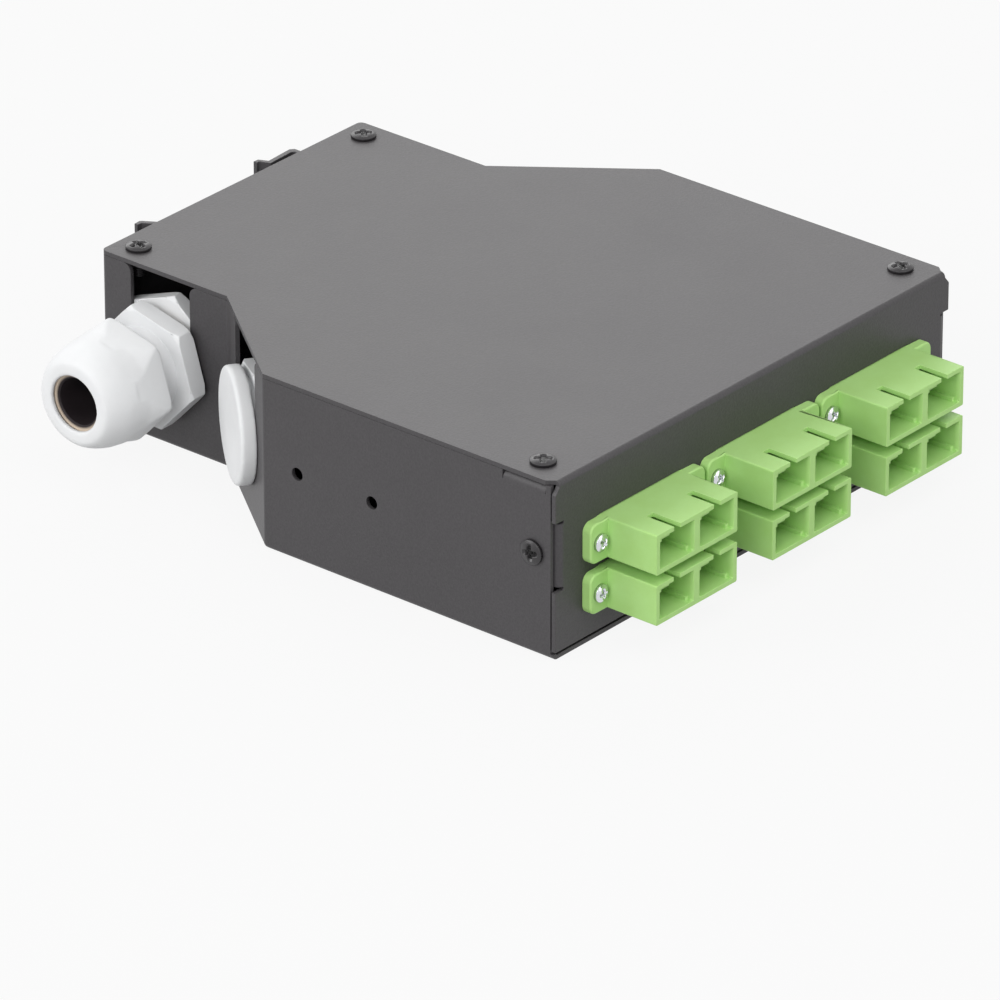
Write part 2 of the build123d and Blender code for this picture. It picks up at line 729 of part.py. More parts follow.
def make_rail_latch():
    """Sliding latch: a strip behind the plate, a catch for the rail and a finger tab."""
    middle_z = (slider_low_z + slider_high_z) / 2
    height = slider_high_z - slider_low_z
    strip_right = window_mid_x + spring_length / 2 + 6.0
    strip_left = clip_left_x - tab_foot_x
    strip = Box(strip_right - strip_left, slider_t, height, align=(Align.MIN, Align.MIN, Align.CENTER))
    latch = Pos(strip_left, slider_back_y, middle_z) * strip
    near = slider_back_y - rear_y
    far = near + slider_t
    tip = strip_left - tab_run
    rise = near + tab_rise
    tab = [(strip_left + 0.9, near), (strip_left + 0.9, far), (tip + 1.0, rise + 0.5)]
    tab += [(tip + 0.5, rise + 1.0), (tip - tab_curl, rise + 0.9), (tip - tab_curl, rise)]
    tab += [(tip, rise - 0.1), (strip_left, near)]
    tab_height = clip_top_z - clip_low_z
    latch += clip_strip(tab, clip_low_z, tab_height)
    jaw_face = clip_face_y - rear_y + slider_gap
    jaw_left = clip_left_x - 0.2
    step = [(jaw_left - 1.0, near), (jaw_left - 0.1, near), (jaw_left - 0.1, jaw_face)]
    step += [(rail_left_x - 0.15, jaw_face), (rail_left_x - 0.15, jaw_face + hook_gap - 0.1)]
    step += [(rail_left_x + catch_overlap, jaw_face + hook_gap - 0.1)]
    step += [(rail_left_x + catch_overlap, jaw_face + hook_gap + 0.3)]
    step += [(rail_left_x + 0.1, jaw_face + hook_gap + 1.4)]
    step += [(rail_left_x - 1.25, jaw_face + hook_gap + 1.4), (rail_left_x - 1.25, jaw_face + catch_t)]
    step += [(jaw_left - 1.0, jaw_face + catch_t)]
    latch += clip_strip(step, middle_z - catch_w / 2, catch_w)
    window_x = spring_length + 2 * window_play
    window = Box(window_x, 4 * slider_t, spring_outer_d + 2 * window_play)
    latch -= Pos(window_mid_x, slider_back_y, spring_z) * window
    return latch


def make_rail_spring():
    """Coil spring that lies in the windows and pushes the latch towards the rail."""
    outer = spring_outer_d / 2
    coil = Helix(spring_length / spring_turns, spring_length - spring_wire_d, outer - spring_wire_d / 2)
    wire = Plane(origin=coil @ 0, z_dir=coil % 0) * Circle(spring_wire_d / 2)
    spring = sweep(wire, path=coil)
    low = window_mid_x - (spring_length - spring_wire_d) / 2
    return Pos(low, slider_back_y + outer, spring_z) * Rot(0, 90, 0) * spring


def make_rivet(x, z):
    """Rivet through the clip plate, its foot and the rear wall."""
    grip = clip_face_y - rear_y + sheet
    shank = Cylinder(rivet_d / 2, grip, align=(Align.CENTER, Align.CENTER, Align.MAX))
    head = Cone(rivet_head_d / 2, rivet_head_d / 4, rivet_head_t, align=(Align.CENTER, Align.CENTER, Align.MIN))
    tail = Pos(0, 0, -grip) * Cylinder(
        rivet_head_d / 2 - 0.6, rivet_head_t, align=(Align.CENTER, Align.CENTER, Align.MAX)
    )
    return along((0, 1, 0), x, clip_face_y, z) * (shank + head + tail)


tray_floor_z = sheet + post_height


def make_tray():
    """Moulded splice tray with rounded corners, a wall and two winding hubs."""
    outer = Pos(0, tray_centre_y) * RectangleRounded(tray_width, tray_depth, tray_corner)
    inner = Pos(0, tray_centre_y) * RectangleRounded(
        tray_width - 2 * tray_wall, tray_depth - 2 * tray_wall, tray_corner - tray_wall
    )
    tray = extrude(outer, amount=tray_height) - Pos(0, 0, tray_wall) * extrude(inner, amount=tray_height)
    for side in (-1, 1):
        hub = Circle(hub_d / 2) - Circle(hub_d / 2 - hub_wall)
        tray += Pos(side * hub_offset_x, tray_centre_y, 0) * extrude(hub, amount=hub_height)
        gate = Box(gate_width, 3 * tray_wall, tray_height, align=(Align.CENTER, Align.CENTER, Align.MIN))
        tray -= Pos(side * hub_offset_x, tray_centre_y + tray_depth / 2, tray_wall) * gate
    for x, y in post_places:
        tray -= Pos(x, y, 0) * Cylinder(tray_screw_d / 2 + screw_play, 6 * tray_wall)
    return Pos(0, 0, tray_floor_z) * tray


def make_splice_comb():
    """Comb that holds the splice sleeves in a row of open grooves."""
    width = comb_slots * comb_pitch + comb_wall
    comb = Box(width, comb_length, comb_height, align=(Align.CENTER, Align.CENTER, Align.MIN))
    groove = Box(comb_pitch - comb_wall, 2 * comb_length, comb_height)
    for slot in range(comb_slots):
        x = (slot - (comb_slots - 1) / 2) * comb_pitch
        comb -= Pos(x, 0, comb_wall + comb_height / 2) * groove
    return Pos(0, tray_centre_y, tray_floor_z + tray_wall) * comb


def make_post(x, y):
    """Pressed-in post that the tray stands on."""
    post = Cylinder(post_d / 2, post_height, align=(Align.CENTER, Align.CENTER, Align.MIN))
    post += Pos(0, 0, -sheet / 2) * Cylinder(post_stem_d / 2, sheet)
    post -= Pos(0, 0, post_height) * Cylinder(tray_screw_d / 2 + thread_play, post_height)
    return Pos(x, y, sheet) * post


def make_tray_screw(x, y):
    """Screw that holds the tray on a post."""
    screw = pan_screw(tray_head_d, tray_head_h, tray_screw_d, post_height / 2 + tray_wall - 1, recess=False)
    return Pos(x, y, tray_floor_z + tray_wall) * screw


def make_anchor():
    """Folded foot and upright that the cable is tied to."""
    section = bent_angle(anchor_foot, anchor_height)
    flip = Plane(origin=(anchor_x, entry_y, sheet), x_dir=(1, 0, 0), z_dir=(0, 1, 0))
    anchor = extrude(flip * section, amount=anchor_width / 2, both=True)
    for side in (-1, 1):
        slot = Box(4 * sheet, anchor_slot_w, anchor_slot_h)
        anchor -= Pos(anchor_x, entry_y + side * anchor_slot_pitch / 2, sheet + anchor_height - anchor_slot_h) * slot
    anchor -= Pos(anchor_rivet_x, entry_y, sheet) * Cylinder(anchor_rivet_d / 2 + thread_play, 6 * sheet)
    return anchor


def make_anchor_rivet():
    """Rivet through the anchor's foot and the floor, flush with the underside."""
    rivet = Cone(anchor_head_d / 2, anchor_head_d / 3, anchor_head_h)
    rivet = Pos(0, 0, 2 * sheet + anchor_head_h / 2) * rivet
    rivet += Pos(0, 0, sheet) * Cylinder(anchor_rivet_d / 2, 2 * sheet)
    return Pos(anchor_rivet_x, entry_y, 0) * rivet


def group(shapes):
    """Separate solids kept together as one part."""
    solids = [solid for shape in shapes for solid in shape.solids()]
    return Compound(children=solids)


port_places = [(x + side * port_pitch / 2, z) for x, z in coupler_places for side in (-1, 1)]
coupler_hole_places = [(x + side * hole_pitch / 2, z) for x, z in coupler_places for side in (-1, 1)]

parts = {
    "base_shell": make_base_shell(),
    "cover": make_cover(),
    "gland_body": make_gland_body(),
    "gland_dome_nut": make_dome_nut(),
    "gland_seal": make_gland_seal(),
    "gland_gasket": make_gland_gasket(),
    "gland_lock_nut": make_lock_nut(),
    "blank_plug": make_blank_plug(),
    "blank_plug_nut": make_plug_nut(),
    "rail_bracket": make_rail_bracket(),
    "rail_latch": make_rail_latch(),
    "rail_spring": make_rail_spring(),
    "rail_rivets": group([make_rivet(x, z) for x, z in rivet_places]),
    "lid_screws": group([make_cover_screw((0, 0, 1), x, y, box_height) for x, y in lid_screw_places]),
    "side_screws": group(
        both_sides(
            lambda side: make_cover_screw((side, 0, 0), side * box_width / 2, side_screw_y, side_screw_z)
        )
    ),
    "coupler_screws": group([make_coupler_screw(x, z) for x, z in coupler_hole_places]),
    "coupler_nuts": group([make_coupler_nut(x, z) for x, z in coupler_hole_places]),
    "splice_tray": make_tray(),
    "splice_comb": make_splice_comb(),
    "tray_posts": group([make_post(x, y) for x, y in post_places]),
    "tray_screws": group([make_tray_screw(x, y) for x, y in post_places]),
    "cable_anchor": make_anchor(),
    "anchor_rivet": make_anchor_rivet(),
}
for number, (x, z) in enumerate(coupler_places, start=1):
    ports = [(x + side * port_pitch / 2, z) for side in (-1, 1)]
    parts[f"coupler_{number}_housing"] = make_coupler_housing(x, z)
    parts[f"coupler_{number}_holders"] = group([make_ferrule_holder(px, pz) for px, pz in ports])
    parts[f"coupler_{number}_sleeves"] = group([make_split_sleeve(px, pz) for px, pz in ports])

for name, shape in parts.items():
    export_step(shape, f"parts/{name}.step")
    print(name, len(shape.solids()), round(shape.volume, 1))
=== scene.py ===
"""Finishes the rail-mounted fibre splice box: soft edges, fasteners, springs, coats and the studio.

Every length in a dataclass field is in millimetres and is turned to metres where a mesh is made.
"""

import json
import logging
import math
from dataclasses import dataclass
from enum import Enum
from typing import Any, Callable, Sequence

import bmesh
import bpy
import numpy as np
from mathutils import Matrix, Vector


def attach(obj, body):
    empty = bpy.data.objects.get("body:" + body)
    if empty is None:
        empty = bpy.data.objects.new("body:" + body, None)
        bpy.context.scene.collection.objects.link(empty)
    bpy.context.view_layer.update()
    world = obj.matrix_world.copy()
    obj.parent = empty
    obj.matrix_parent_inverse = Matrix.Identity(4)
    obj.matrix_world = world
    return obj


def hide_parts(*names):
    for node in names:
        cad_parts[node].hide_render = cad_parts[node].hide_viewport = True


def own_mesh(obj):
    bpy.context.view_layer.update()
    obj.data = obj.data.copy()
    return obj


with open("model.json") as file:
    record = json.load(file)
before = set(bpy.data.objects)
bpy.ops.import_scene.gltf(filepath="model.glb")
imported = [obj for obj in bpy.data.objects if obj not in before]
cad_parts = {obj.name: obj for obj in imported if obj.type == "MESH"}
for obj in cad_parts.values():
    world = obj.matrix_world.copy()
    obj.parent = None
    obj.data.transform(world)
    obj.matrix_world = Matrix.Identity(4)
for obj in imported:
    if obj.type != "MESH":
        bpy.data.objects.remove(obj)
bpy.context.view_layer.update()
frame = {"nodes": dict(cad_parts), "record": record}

MM = 0.001
WELD = 2e-6
FLAT_DEGREES = 0.6
DUST_COLOUR = (0.42, 0.40, 0.37, 1.0)
WHITE = (1.0, 1.0, 1.0, 1.0)
FLOAT = "NodeSocketFloat"
SHAPE = "NodeSocketGeometry"
log = logging.getLogger("splice_box")
Point = tuple[float, float, float]
Colour = tuple[float, float, float]
Change = Callable[[bmesh.types.BMesh], None]


class Node(Enum):
    """Shader and geometry nodes that the trees below are made of."""

    COORD = "ShaderNodeTexCoord"
    NOISE = "ShaderNodeTexNoise"
    VORONOI = "ShaderNodeTexVoronoi"
    RAMP = "ShaderNodeMapRange"
    MATH = "ShaderNodeMath"
    VECTOR = "ShaderNodeVectorMath"
    MIX = "ShaderNodeMix"
    BUMP = "ShaderNodeBump"
    MAPPING = "ShaderNodeMapping"
    GEOMETRY = "ShaderNodeNewGeometry"
    SPLIT = "ShaderNodeSeparateXYZ"
    JOIN = "ShaderNodeCombineXYZ"
    PRINCIPLED = "ShaderNodeBsdfPrincipled"
    ATTRIBUTE = "ShaderNodeAttribute"
    GROUP = "ShaderNodeGroup"
    OUTPUT = "ShaderNodeOutputMaterial"


class Tree:
    """A node tree that is written as short lines of code."""

    def __init__(self, tree: bpy.types.NodeTree) -> None:
        """Wraps a tree.

        Args:
            tree: The shader or geometry node tree to fill.
        """
        self.tree = tree

    def add(self, kind: Node | str, inputs: dict[Any, Any] | None = None, **settings: Any) -> bpy.types.Node:
        """Adds one node, sets it up and joins its inputs.

        Args:
            kind: The node's type.
            inputs: Socket name or number to a value, or to an output socket of another node.
            **settings: Properties of the node itself.

        Returns:
            The new node.
        """
        node = self.tree.nodes.new(kind.value if isinstance(kind, Node) else kind)
        for name, value in settings.items():
            setattr(node, name, value)
        for key, value in (inputs or {}).items():
            if isinstance(value, bpy.types.NodeSocket):
                self.tree.links.new(value, node.inputs[key])
            else:
                node.inputs[key].default_value = value
        return node

    def math(self, operation: str, *values: Any) -> bpy.types.NodeSocket:
        """Adds a Math node and gives its output.

        Args:
            operation: The sum to do, such as "MULTIPLY".
            *values: One to three numbers or sockets.

        Returns:
            The output socket.
        """
        return self.add(Node.MATH, dict(enumerate(values)), operation=operation).outputs[0]

    def blend(self, kind: str, share: Any, first: Any, second: Any) -> bpy.types.NodeSocket:
        """Mixes two colours or two numbers.

        Args:
            kind: "RGBA" or "FLOAT".
            share: Share of the second one.
            first: Colour or number where the share is 0.
            second: Colour or number where the share is 1.

        Returns:
            The mixed output socket.
        """
        low, high, out = {"RGBA": (6, 7, 2), "FLOAT": (2, 3, 0)}[kind]
        return self.add(Node.MIX, {0: share, low: first, high: second}, data_type=kind).outputs[out]

    def spread(self, value: Any, low: Any, high: Any, to_low: float, to_high: float) -> bpy.types.NodeSocket:
        """Maps a range of numbers to another one, and holds it at the ends.

        Args:
            value: The socket to map.
            low: Start of the range that comes in.
            high: End of the range that comes in.
            to_low: Start of the range that goes out.
            to_high: End of the range that goes out.

        Returns:
            The mapped output socket.
        """
        inputs = {"Value": value, "From Min": low, "From Max": high, "To Min": to_low, "To Max": to_high}
        return self.add(Node.RAMP, inputs).outputs[0]


def group_tree(
    name: str, kind: str, inputs: dict[str, tuple[str, Any]], outputs: dict[str, str]
) -> tuple[Tree, Any, Any]:
    """Starts a node group with named sockets.

    Args:
        name: The group's name.
        kind: "ShaderNodeTree" or "GeometryNodeTree".
        inputs: Socket name to its type and first value.
        outputs: Socket name to its type.

    Returns:
        The tree, its input node and its output node.
    """
    tree = bpy.data.node_groups.new(name, kind)
    for label, (socket, value) in inputs.items():
        made = tree.interface.new_socket(name=label, in_out="INPUT", socket_type=socket)
        if value is not None:
            made.default_value = value
    for label, socket in outputs.items():
        tree.interface.new_socket(name=label, in_out="OUTPUT", socket_type=socket)
    wrap = Tree(tree)
    return wrap, wrap.add("NodeGroupInput"), wrap.add("NodeGroupOutput")


def blank_tree(owner: bpy.types.Material | bpy.types.World) -> Tree:
    """Gives the emptied node tree of a material or a world."""
    owner.use_nodes = True
    owner.node_tree.nodes.clear()
    return Tree(owner.node_tree)


def raise_by(tree: Tree, shape: Any, height: Any) -> bpy.types.NodeSocket:
    """Moves a shape along Z inside a geometry tree."""
    shift = tree.add(Node.JOIN, {2: height}).outputs[0]
    return tree.add("GeometryNodeTransform", {"Geometry": shape, "Translation": shift}).outputs[0]


def finish_tree(tree: Tree, shape: Any, finish: Any, sink: Any) -> None:
    """Makes a geometry tree's shape real, gives it the material of a socket and puts it out."""
    real = tree.add("GeometryNodeRealizeInstances", {0: shape})
    dressed = tree.add("GeometryNodeSetMaterial", {"Geometry": real.outputs[0], "Material": finish})
    tree.tree.links.new(dressed.outputs[0], sink.inputs[0])


class Effects:
    """Shader effects that more than one finish uses, each built once as a node group.

    HAIRLINES holds the turn and the stretch of each set of hairlines, HAIRLINE_CUT the range of the
    noise that they show in, and DUST_SCALE the dust's patches to the metre.
    """

    HAIRLINES = ((0.5, 14.0), (1.9, 10.0))
    HAIRLINE_CUT = (0.66, 0.74)
    DUST_SCALE = 60.0

    def __init__(self) -> None:
        """Builds the groups."""
        self.grain = self._grain()
        self.scuffs = self._scuffs()
        self.dust = self._dust()

    def _grain(self) -> bpy.types.NodeTree:
        """Builds the fine skin of a coat or a moulding.

        Returns:
            A group that puts out a height and a slow change of tone.
        """
        sockets = {"Size": (FLOAT, 0.5), "Patch": (FLOAT, 12.0), "Seed": (FLOAT, 0.0)}
        outputs = {"Height": FLOAT, "Tone": FLOAT}
        tree, source, sink = group_tree("surface_grain", "ShaderNodeTree", sockets, outputs)
        coord = tree.add(Node.COORD).outputs["Object"]
        fine = tree.math("DIVIDE", 1.0 / MM, source.outputs["Size"])
        wide = tree.math("DIVIDE", 1.0 / MM, source.outputs["Patch"])
        shift = tree.add(Node.JOIN, {0: source.outputs["Seed"], 2: source.outputs["Seed"]}).outputs[0]
        place = tree.add(Node.VECTOR, {0: coord, 1: shift}, operation="ADD").outputs[0]
        skin = tree.add(Node.NOISE, {"Vector": place, "Scale": fine, "Detail": 2.0, "Roughness": 0.55})
        cell = tree.add(Node.VORONOI, {"Vector": place, "Scale": fine}, feature="SMOOTH_F1")
        height = tree.blend("FLOAT", 0.45, skin.outputs[0], cell.outputs["Distance"])
        tone = tree.add(Node.NOISE, {"Vector": place, "Scale": wide, "Detail": 4.0, "Roughness": 0.6})
        tree.tree.links.new(height, sink.inputs["Height"])
        tree.tree.links.new(tone.outputs[0], sink.inputs["Tone"])
        return tree.tree

    def _scuffs(self) -> bpy.types.NodeTree:
        """Builds thin hairlines that lie at a few angles.

        Returns:
            A group that puts out a mask of the hairlines.
        """
        sockets = {"Size": (FLOAT, 8.0), "Amount": (FLOAT, 0.3)}
        tree, source, sink = group_tree("hairline_scuffs", "ShaderNodeTree", sockets, {"Mask": FLOAT})
        coord = tree.add(Node.COORD).outputs["Object"]
        scale = tree.math("DIVIDE", 1.0 / MM, source.outputs["Size"])
        total: Any = 0.0
        for turn, stretch in self.HAIRLINES:
            bent = tree.add(Node.MAPPING, {"Vector": coord, "Rotation": (turn, turn * 0.6, turn * 1.3)})
            squeeze = {0: bent.outputs[0], 1: (1.0, stretch, stretch)}
            thin = tree.add(Node.VECTOR, squeeze, operation="MULTIPLY")
            lines = tree.add(Node.NOISE, {"Vector": thin.outputs[0], "Scale": scale, "Detail": 3.0})
            total = tree.math("ADD", total, tree.spread(lines.outputs[0], *self.HAIRLINE_CUT, 0.0, 1.0))
        mask = tree.math("MULTIPLY", total, source.outputs["Amount"])
        tree.tree.links.new(mask, sink.inputs["Mask"])
        return tree.tree

    def _dust(self) -> bpy.types.NodeTree:
        """Builds a thin film of dust on what faces up.

        Returns:
            A group that puts out a mask of the dust.
        """
        sockets = {"Amount": (FLOAT, 0.1)}
        tree, source, sink = group_tree("settled_dust", "ShaderNodeTree", sockets, {"Mask": FLOAT})
        coord = tree.add(Node.COORD).outputs["Object"]
        normal = tree.add(Node.GEOMETRY).outputs["Normal"]
        upward = tree.add(Node.SPLIT, {0: normal}).outputs[2]
        level = tree.spread(upward, 0.55, 1.0, 0.0, 1.0)
        noise = {"Vector": coord, "Scale": self.DUST_SCALE, "Detail": 5.0, "Roughness": 0.7}
        patch = tree.add(Node.NOISE, noise)
        cloud = tree.spread(patch.outputs[0], 0.35, 0.75, 0.2, 1.0)
        mask = tree.math("MULTIPLY", tree.math("MULTIPLY", level, cloud), source.outputs["Amount"])
        tree.tree.links.new(mask, sink.inputs["Mask"])
        return tree.tree


@dataclass(frozen=True)
class Finish:
    """One surface finish with its grain, its hairlines and its dust.

    A ring is the Y and Z of an axis along X, and the two radii between which ring_colour comes in.
    Speckle is the share of the change of tone that follows the fine grain. The recess colour is
    bright bare metal at the bottom of a screw's recess: partly wear, and partly a painted glint.
    """

    name: str
    slot: str
    colour: Colour
    light: Colour
    roughness: float = 0.45
    roughness_swing: float = 0.08
    metallic: float = 0.0
    grain: float = 0.5
    patch: float = 12.0
    relief: float = 0.01
    tone: float = 0.5
    scuffs: float = 0.0
    scuff_size: float = 8.0
    dust: float = 0.0
    coat: float = 0.0
    specular: float = 0.5
    ior: float = 1.5
    ring: tuple[float, float, float, float] | None = None
    ring_colour: Colour = (0.3, 0.2, 0.12)
    speckle: float = 0.0
    worn_and_glint: Colour | None = None

    def build(self, effects: Effects) -> bpy.types.Material:
        """Builds the material.

        Args:
            effects: The shared shader groups.

        Returns:
            The material, ready for a slot.
        """
        material = bpy.data.materials.new(self.name)
        tree = blank_tree(material)
        skin = tree.add(Node.GROUP, node_tree=effects.grain)
        skin.inputs["Size"].default_value = self.grain
        skin.inputs["Patch"].default_value = self.patch
        share = tree.spread(skin.outputs["Tone"], 0.3, 0.7, 0.0, self.tone * (1.0 - self.speckle))
        if self.speckle:
            share = tree.math("ADD", share, tree.spread(skin.outputs["Height"], 0.3, 0.6, 0.0, self.speckle))
        colour = tree.blend("RGBA", share, (*self.colour, 1.0), (*self.light, 1.0))
        low, high = self.roughness - self.roughness_swing, self.roughness + self.roughness_swing
        rough: Any = tree.spread(skin.outputs["Tone"], 0.25, 0.75, low, high)
        if self.ring:
            colour = tree.blend("RGBA", self._outward(tree), colour, (*self.ring_colour, 1.0))
        if self.scuffs:
            marks = tree.add(Node.GROUP, node_tree=effects.scuffs)
            marks.inputs["Size"].default_value = self.scuff_size
            marks.inputs["Amount"].default_value = self.scuffs
            paler = tuple(min(1.0, c * 1.5 + 0.03) for c in self.light)
            colour = tree.blend("RGBA", marks.outputs[0], colour, (*paler, 1.0))
            rough = tree.math("ADD", rough, tree.math("MULTIPLY", marks.outputs[0], 0.12))
        if self.dust:
            film = tree.add(Node.GROUP, node_tree=effects.dust)
            film.inputs["Amount"].default_value = self.dust
            colour = tree.blend("RGBA", film.outputs[0], colour, DUST_COLOUR)
            rough = tree.math("ADD", rough, tree.math("MULTIPLY", film.outputs[0], 0.4))
        metallic: Any = self.metallic
        # bright bare metal in the screw's recess: partly wear, partly a painted glint
        if self.worn_and_glint:
            depth = tree.add(Node.ATTRIBUTE, attribute_name="recess").outputs["Fac"]
            bare_glint_share = tree.spread(depth, 0.45, 0.75, 0.0, 1.0)
            colour = tree.blend("RGBA", bare_glint_share, colour, (*self.worn_and_glint, 1.0))
            metallic = tree.blend("FLOAT", bare_glint_share, self.metallic, 1.0)
        height = {"Height": skin.outputs["Height"], "Strength": 1.0, "Distance": self.relief * MM}
        bump = tree.add(Node.BUMP, height)
        shader = tree.add(
            Node.PRINCIPLED,
            {
                "Base Color": colour,
                "Roughness": rough,
                "Normal": bump.outputs[0],
                "Metallic": metallic,
                "IOR": self.ior,
                "Specular IOR Level": self.specular,
                "Coat Weight": self.coat,
                "Coat Roughness": 0.2,
            },
        )
        out = tree.add(Node.OUTPUT)
        tree.tree.links.new(shader.outputs[0], out.inputs["Surface"])
        material.diffuse_color = (*self.colour, 1.0)
        return material

    def _outward(self, tree: Tree) -> bpy.types.NodeSocket:
        """Gives a share that rises from 0 to 1 between the ring's two radii."""
        y, z, inner, outer = (value * MM for value in self.ring)
        coord = tree.add(Node.COORD).outputs["Object"]
        flat = tree.add(Node.VECTOR, {0: coord, 1: (0.0, y, z)}, operation="SUBTRACT").outputs[0]
        flat = tree.add(Node.VECTOR, {0: flat, 1: (0.0, 1.0, 1.0)}, operation="MULTIPLY").outputs[0]
        reach = tree.add(Node.VECTOR, {0: flat}, operation="LENGTH").outputs["Value"]
        return tree.spread(reach, inner, outer, 0.0, 1.0)


def srgb(red: int, green: int, blue: int) -> Colour:
    """Turns a screen colour of 0 to 255 into linear light."""
    levels = [value / 255 for value in (red, green, blue)]
    return tuple(v / 12.92 if v <= 0.04045 else ((v + 0.055) / 1.055) ** 2.4 for v in levels)


FINISHES = (
    Finish(
        "charcoal_powder_coat", "housing_paint", srgb(61, 59, 61), srgb(71, 69, 71),
        roughness=0.46, roughness_swing=0.015, grain=0.45, patch=22.0, relief=0.05, tone=0.6,
        dust=0.03, scuffs=0.03, specular=0.38, speckle=0.6,
    ),
    Finish(
        "apple_green_moulding", "coupler_plastic", srgb(173, 217, 129), srgb(180, 224, 141),
        roughness=0.44, roughness_swing=0.04, grain=0.8, relief=0.01, tone=0.7, patch=5.0,
        dust=0.02, specular=0.3,
    ),
    Finish(
        "white_nylon", "gland_nylon", srgb(224, 225, 226), srgb(232, 233, 234),
        roughness=0.5, roughness_swing=0.04, grain=0.7, relief=0.012, tone=0.8, dust=0.03,
        specular=0.15,
    ),
    Finish(
        "dark_seal_rubber", "seal_rubber", srgb(36, 30, 33), srgb(44, 38, 39),
        roughness=0.6, relief=0.02, specular=0.25,
        ring=(54.6, 19.5, 5.5, 6.1), ring_colour=srgb(212, 196, 178),
    ),
    Finish(
        "satin_zinc", "zinc_plate", srgb(176, 178, 184), srgb(196, 198, 202),
        roughness=0.36, metallic=1.0, grain=0.4, relief=0.006, scuffs=0.3, scuff_size=6.0,
    ),
    Finish(
        "drawn_wire", "spring_steel", srgb(150, 150, 154), srgb(176, 176, 180),
        roughness=0.28, metallic=1.0, grain=0.2, relief=0.004,
    ),
    Finish(
        "black_oxide", "black_screw", srgb(40, 38, 40), srgb(52, 50, 52),
        # the bright recess metal is partly wear and partly a painted glint
        roughness=0.32, grain=0.3, relief=0.008, patch=3.0, worn_and_glint=srgb(225, 225, 228),
    ),
    Finish(
        "bright_zinc", "bright_screw", srgb(214, 216, 222), srgb(232, 233, 236),
        roughness=0.2, metallic=1.0, grain=0.25, relief=0.006, patch=2.0,
        scuffs=0.2, scuff_size=2.0,
    ),
    Finish(
        "pale_tray_plastic", "tray_plastic", srgb(205, 207, 206), srgb(216, 217, 216),
        roughness=0.5, relief=0.01,
    ),
    Finish(
        "white_comb_plastic", "comb_plastic", srgb(226, 227, 227), srgb(236, 236, 236),
        roughness=0.45, relief=0.01,
    ),
    Finish(
        "green_holder_plastic", "holder_plastic", srgb(170, 214, 125), srgb(177, 221, 137),
        roughness=0.45, relief=0.01,
    ),
    Finish(
        "polished_ceramic", "sleeve_ceramic", srgb(236, 232, 222), srgb(243, 240, 232),
        roughness=0.15, relief=0.002, coat=0.3,
    ),
)


class Palette:
    """All materials of the box, by the record's slot."""

    def __init__(self) -> None:
        """Builds every finish once."""
        effects = Effects()
        self.by_slot = {finish.slot: finish.build(effects) for finish in FINISHES}

    def of_node(self, node: str) -> bpy.types.Material:
        """Gives the material of a node of the frame.

        Args:
            node: The node's name.

        Returns:
            The material of the slot that the record gives it.
        """
        return self.by_slot[self.slot_of(node)]

    @staticmethod
    def slot_of(node: str) -> str:
        """Gives the record's slot of a node."""
        return next(part["material_slot"] for part in frame["record"]["subparts"] if part["node"] == node)

    def dress(self, node: str) -> None:
        """Puts the finish on a node that stays as it is.

        Args:
            node: The node's name.
        """
        mesh = frame["nodes"][node].data
        mesh.materials.clear()
        mesh.materials.append(self.of_node(node))
        log.info("%s dressed", node)


def body_of(node: str) -> str:
    """Gives the body that a node belongs to."""
    bodies = frame["record"]["behaviour"]["bodies"]
    return next(body for body, nodes in bodies.items() if node in nodes)


def plain_mesh(obj: bpy.types.Object, name: str) -> bpy.types.Mesh:
    """Turns an object with modifiers into a plain mesh.

    Args:
        obj: The object to evaluate.
        name: Name of the mesh that is made.

    Returns:
        The finished mesh.
    """
    graph = bpy.context.evaluated_depsgraph_get()
    mesh = bpy.data.meshes.new_from_object(
        obj.evaluated_get(graph), preserve_all_data_layers=True, depsgraph=graph
    )
    mesh.name = name
    return mesh


def add_object(name: str, data: bpy.types.ID) -> bpy.types.Object:
    """Adds an object at the origin for a mesh, a lamp or a camera."""
    obj = bpy.data.objects.new(name, data)
    bpy.context.scene.collection.objects.link(obj)
    return obj


def stand_for(obj: bpy.types.Object, nodes: Sequence[str]) -> None:
    """Makes a piece ride and stand for nodes of the frame.

    Args:
        obj: The finished piece.
        nodes: The nodes it stands for, all of one body and one slot.
    """
    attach(obj, body_of(nodes[0]))
    Palette.slot_of(nodes[0])
    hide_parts(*nodes)
    log.info("%s stands for %s, %d faces", obj.name, ", ".join(nodes), len(obj.data.polygons))


def weld(work: bmesh.types.BMesh) -> None:
    """Joins corners that lie on one another."""
    bmesh.ops.remove_doubles(work, verts=work.verts, dist=WELD)


def clear_flats(work: bmesh.types.BMesh) -> None:
    """Takes out edges without length and edges inside flat faces."""
    bmesh.ops.dissolve_degenerate(work, edges=work.edges, dist=WELD)
    flat = math.radians(FLAT_DEGREES)
    bmesh.ops.dissolve_limit(work, angle_limit=flat, verts=work.verts, edges=work.edges)


def changed_copy(node: str, name: str, *steps: Change) -> bpy.types.Mesh:
    """Copies the mesh of a node and changes the copy.

    Args:
        node: The node to copy.
        name: Name of the copy.
        *steps: Changes to make, in this order.

    Returns:
        The changed copy.
    """
    mesh = frame["nodes"][node].data.copy()
    mesh.name = name
    work = bmesh.new()
    work.from_mesh(mesh)
    for step in steps:
        step(work)
    work.to_mesh(mesh)
    work.free()
    return mesh


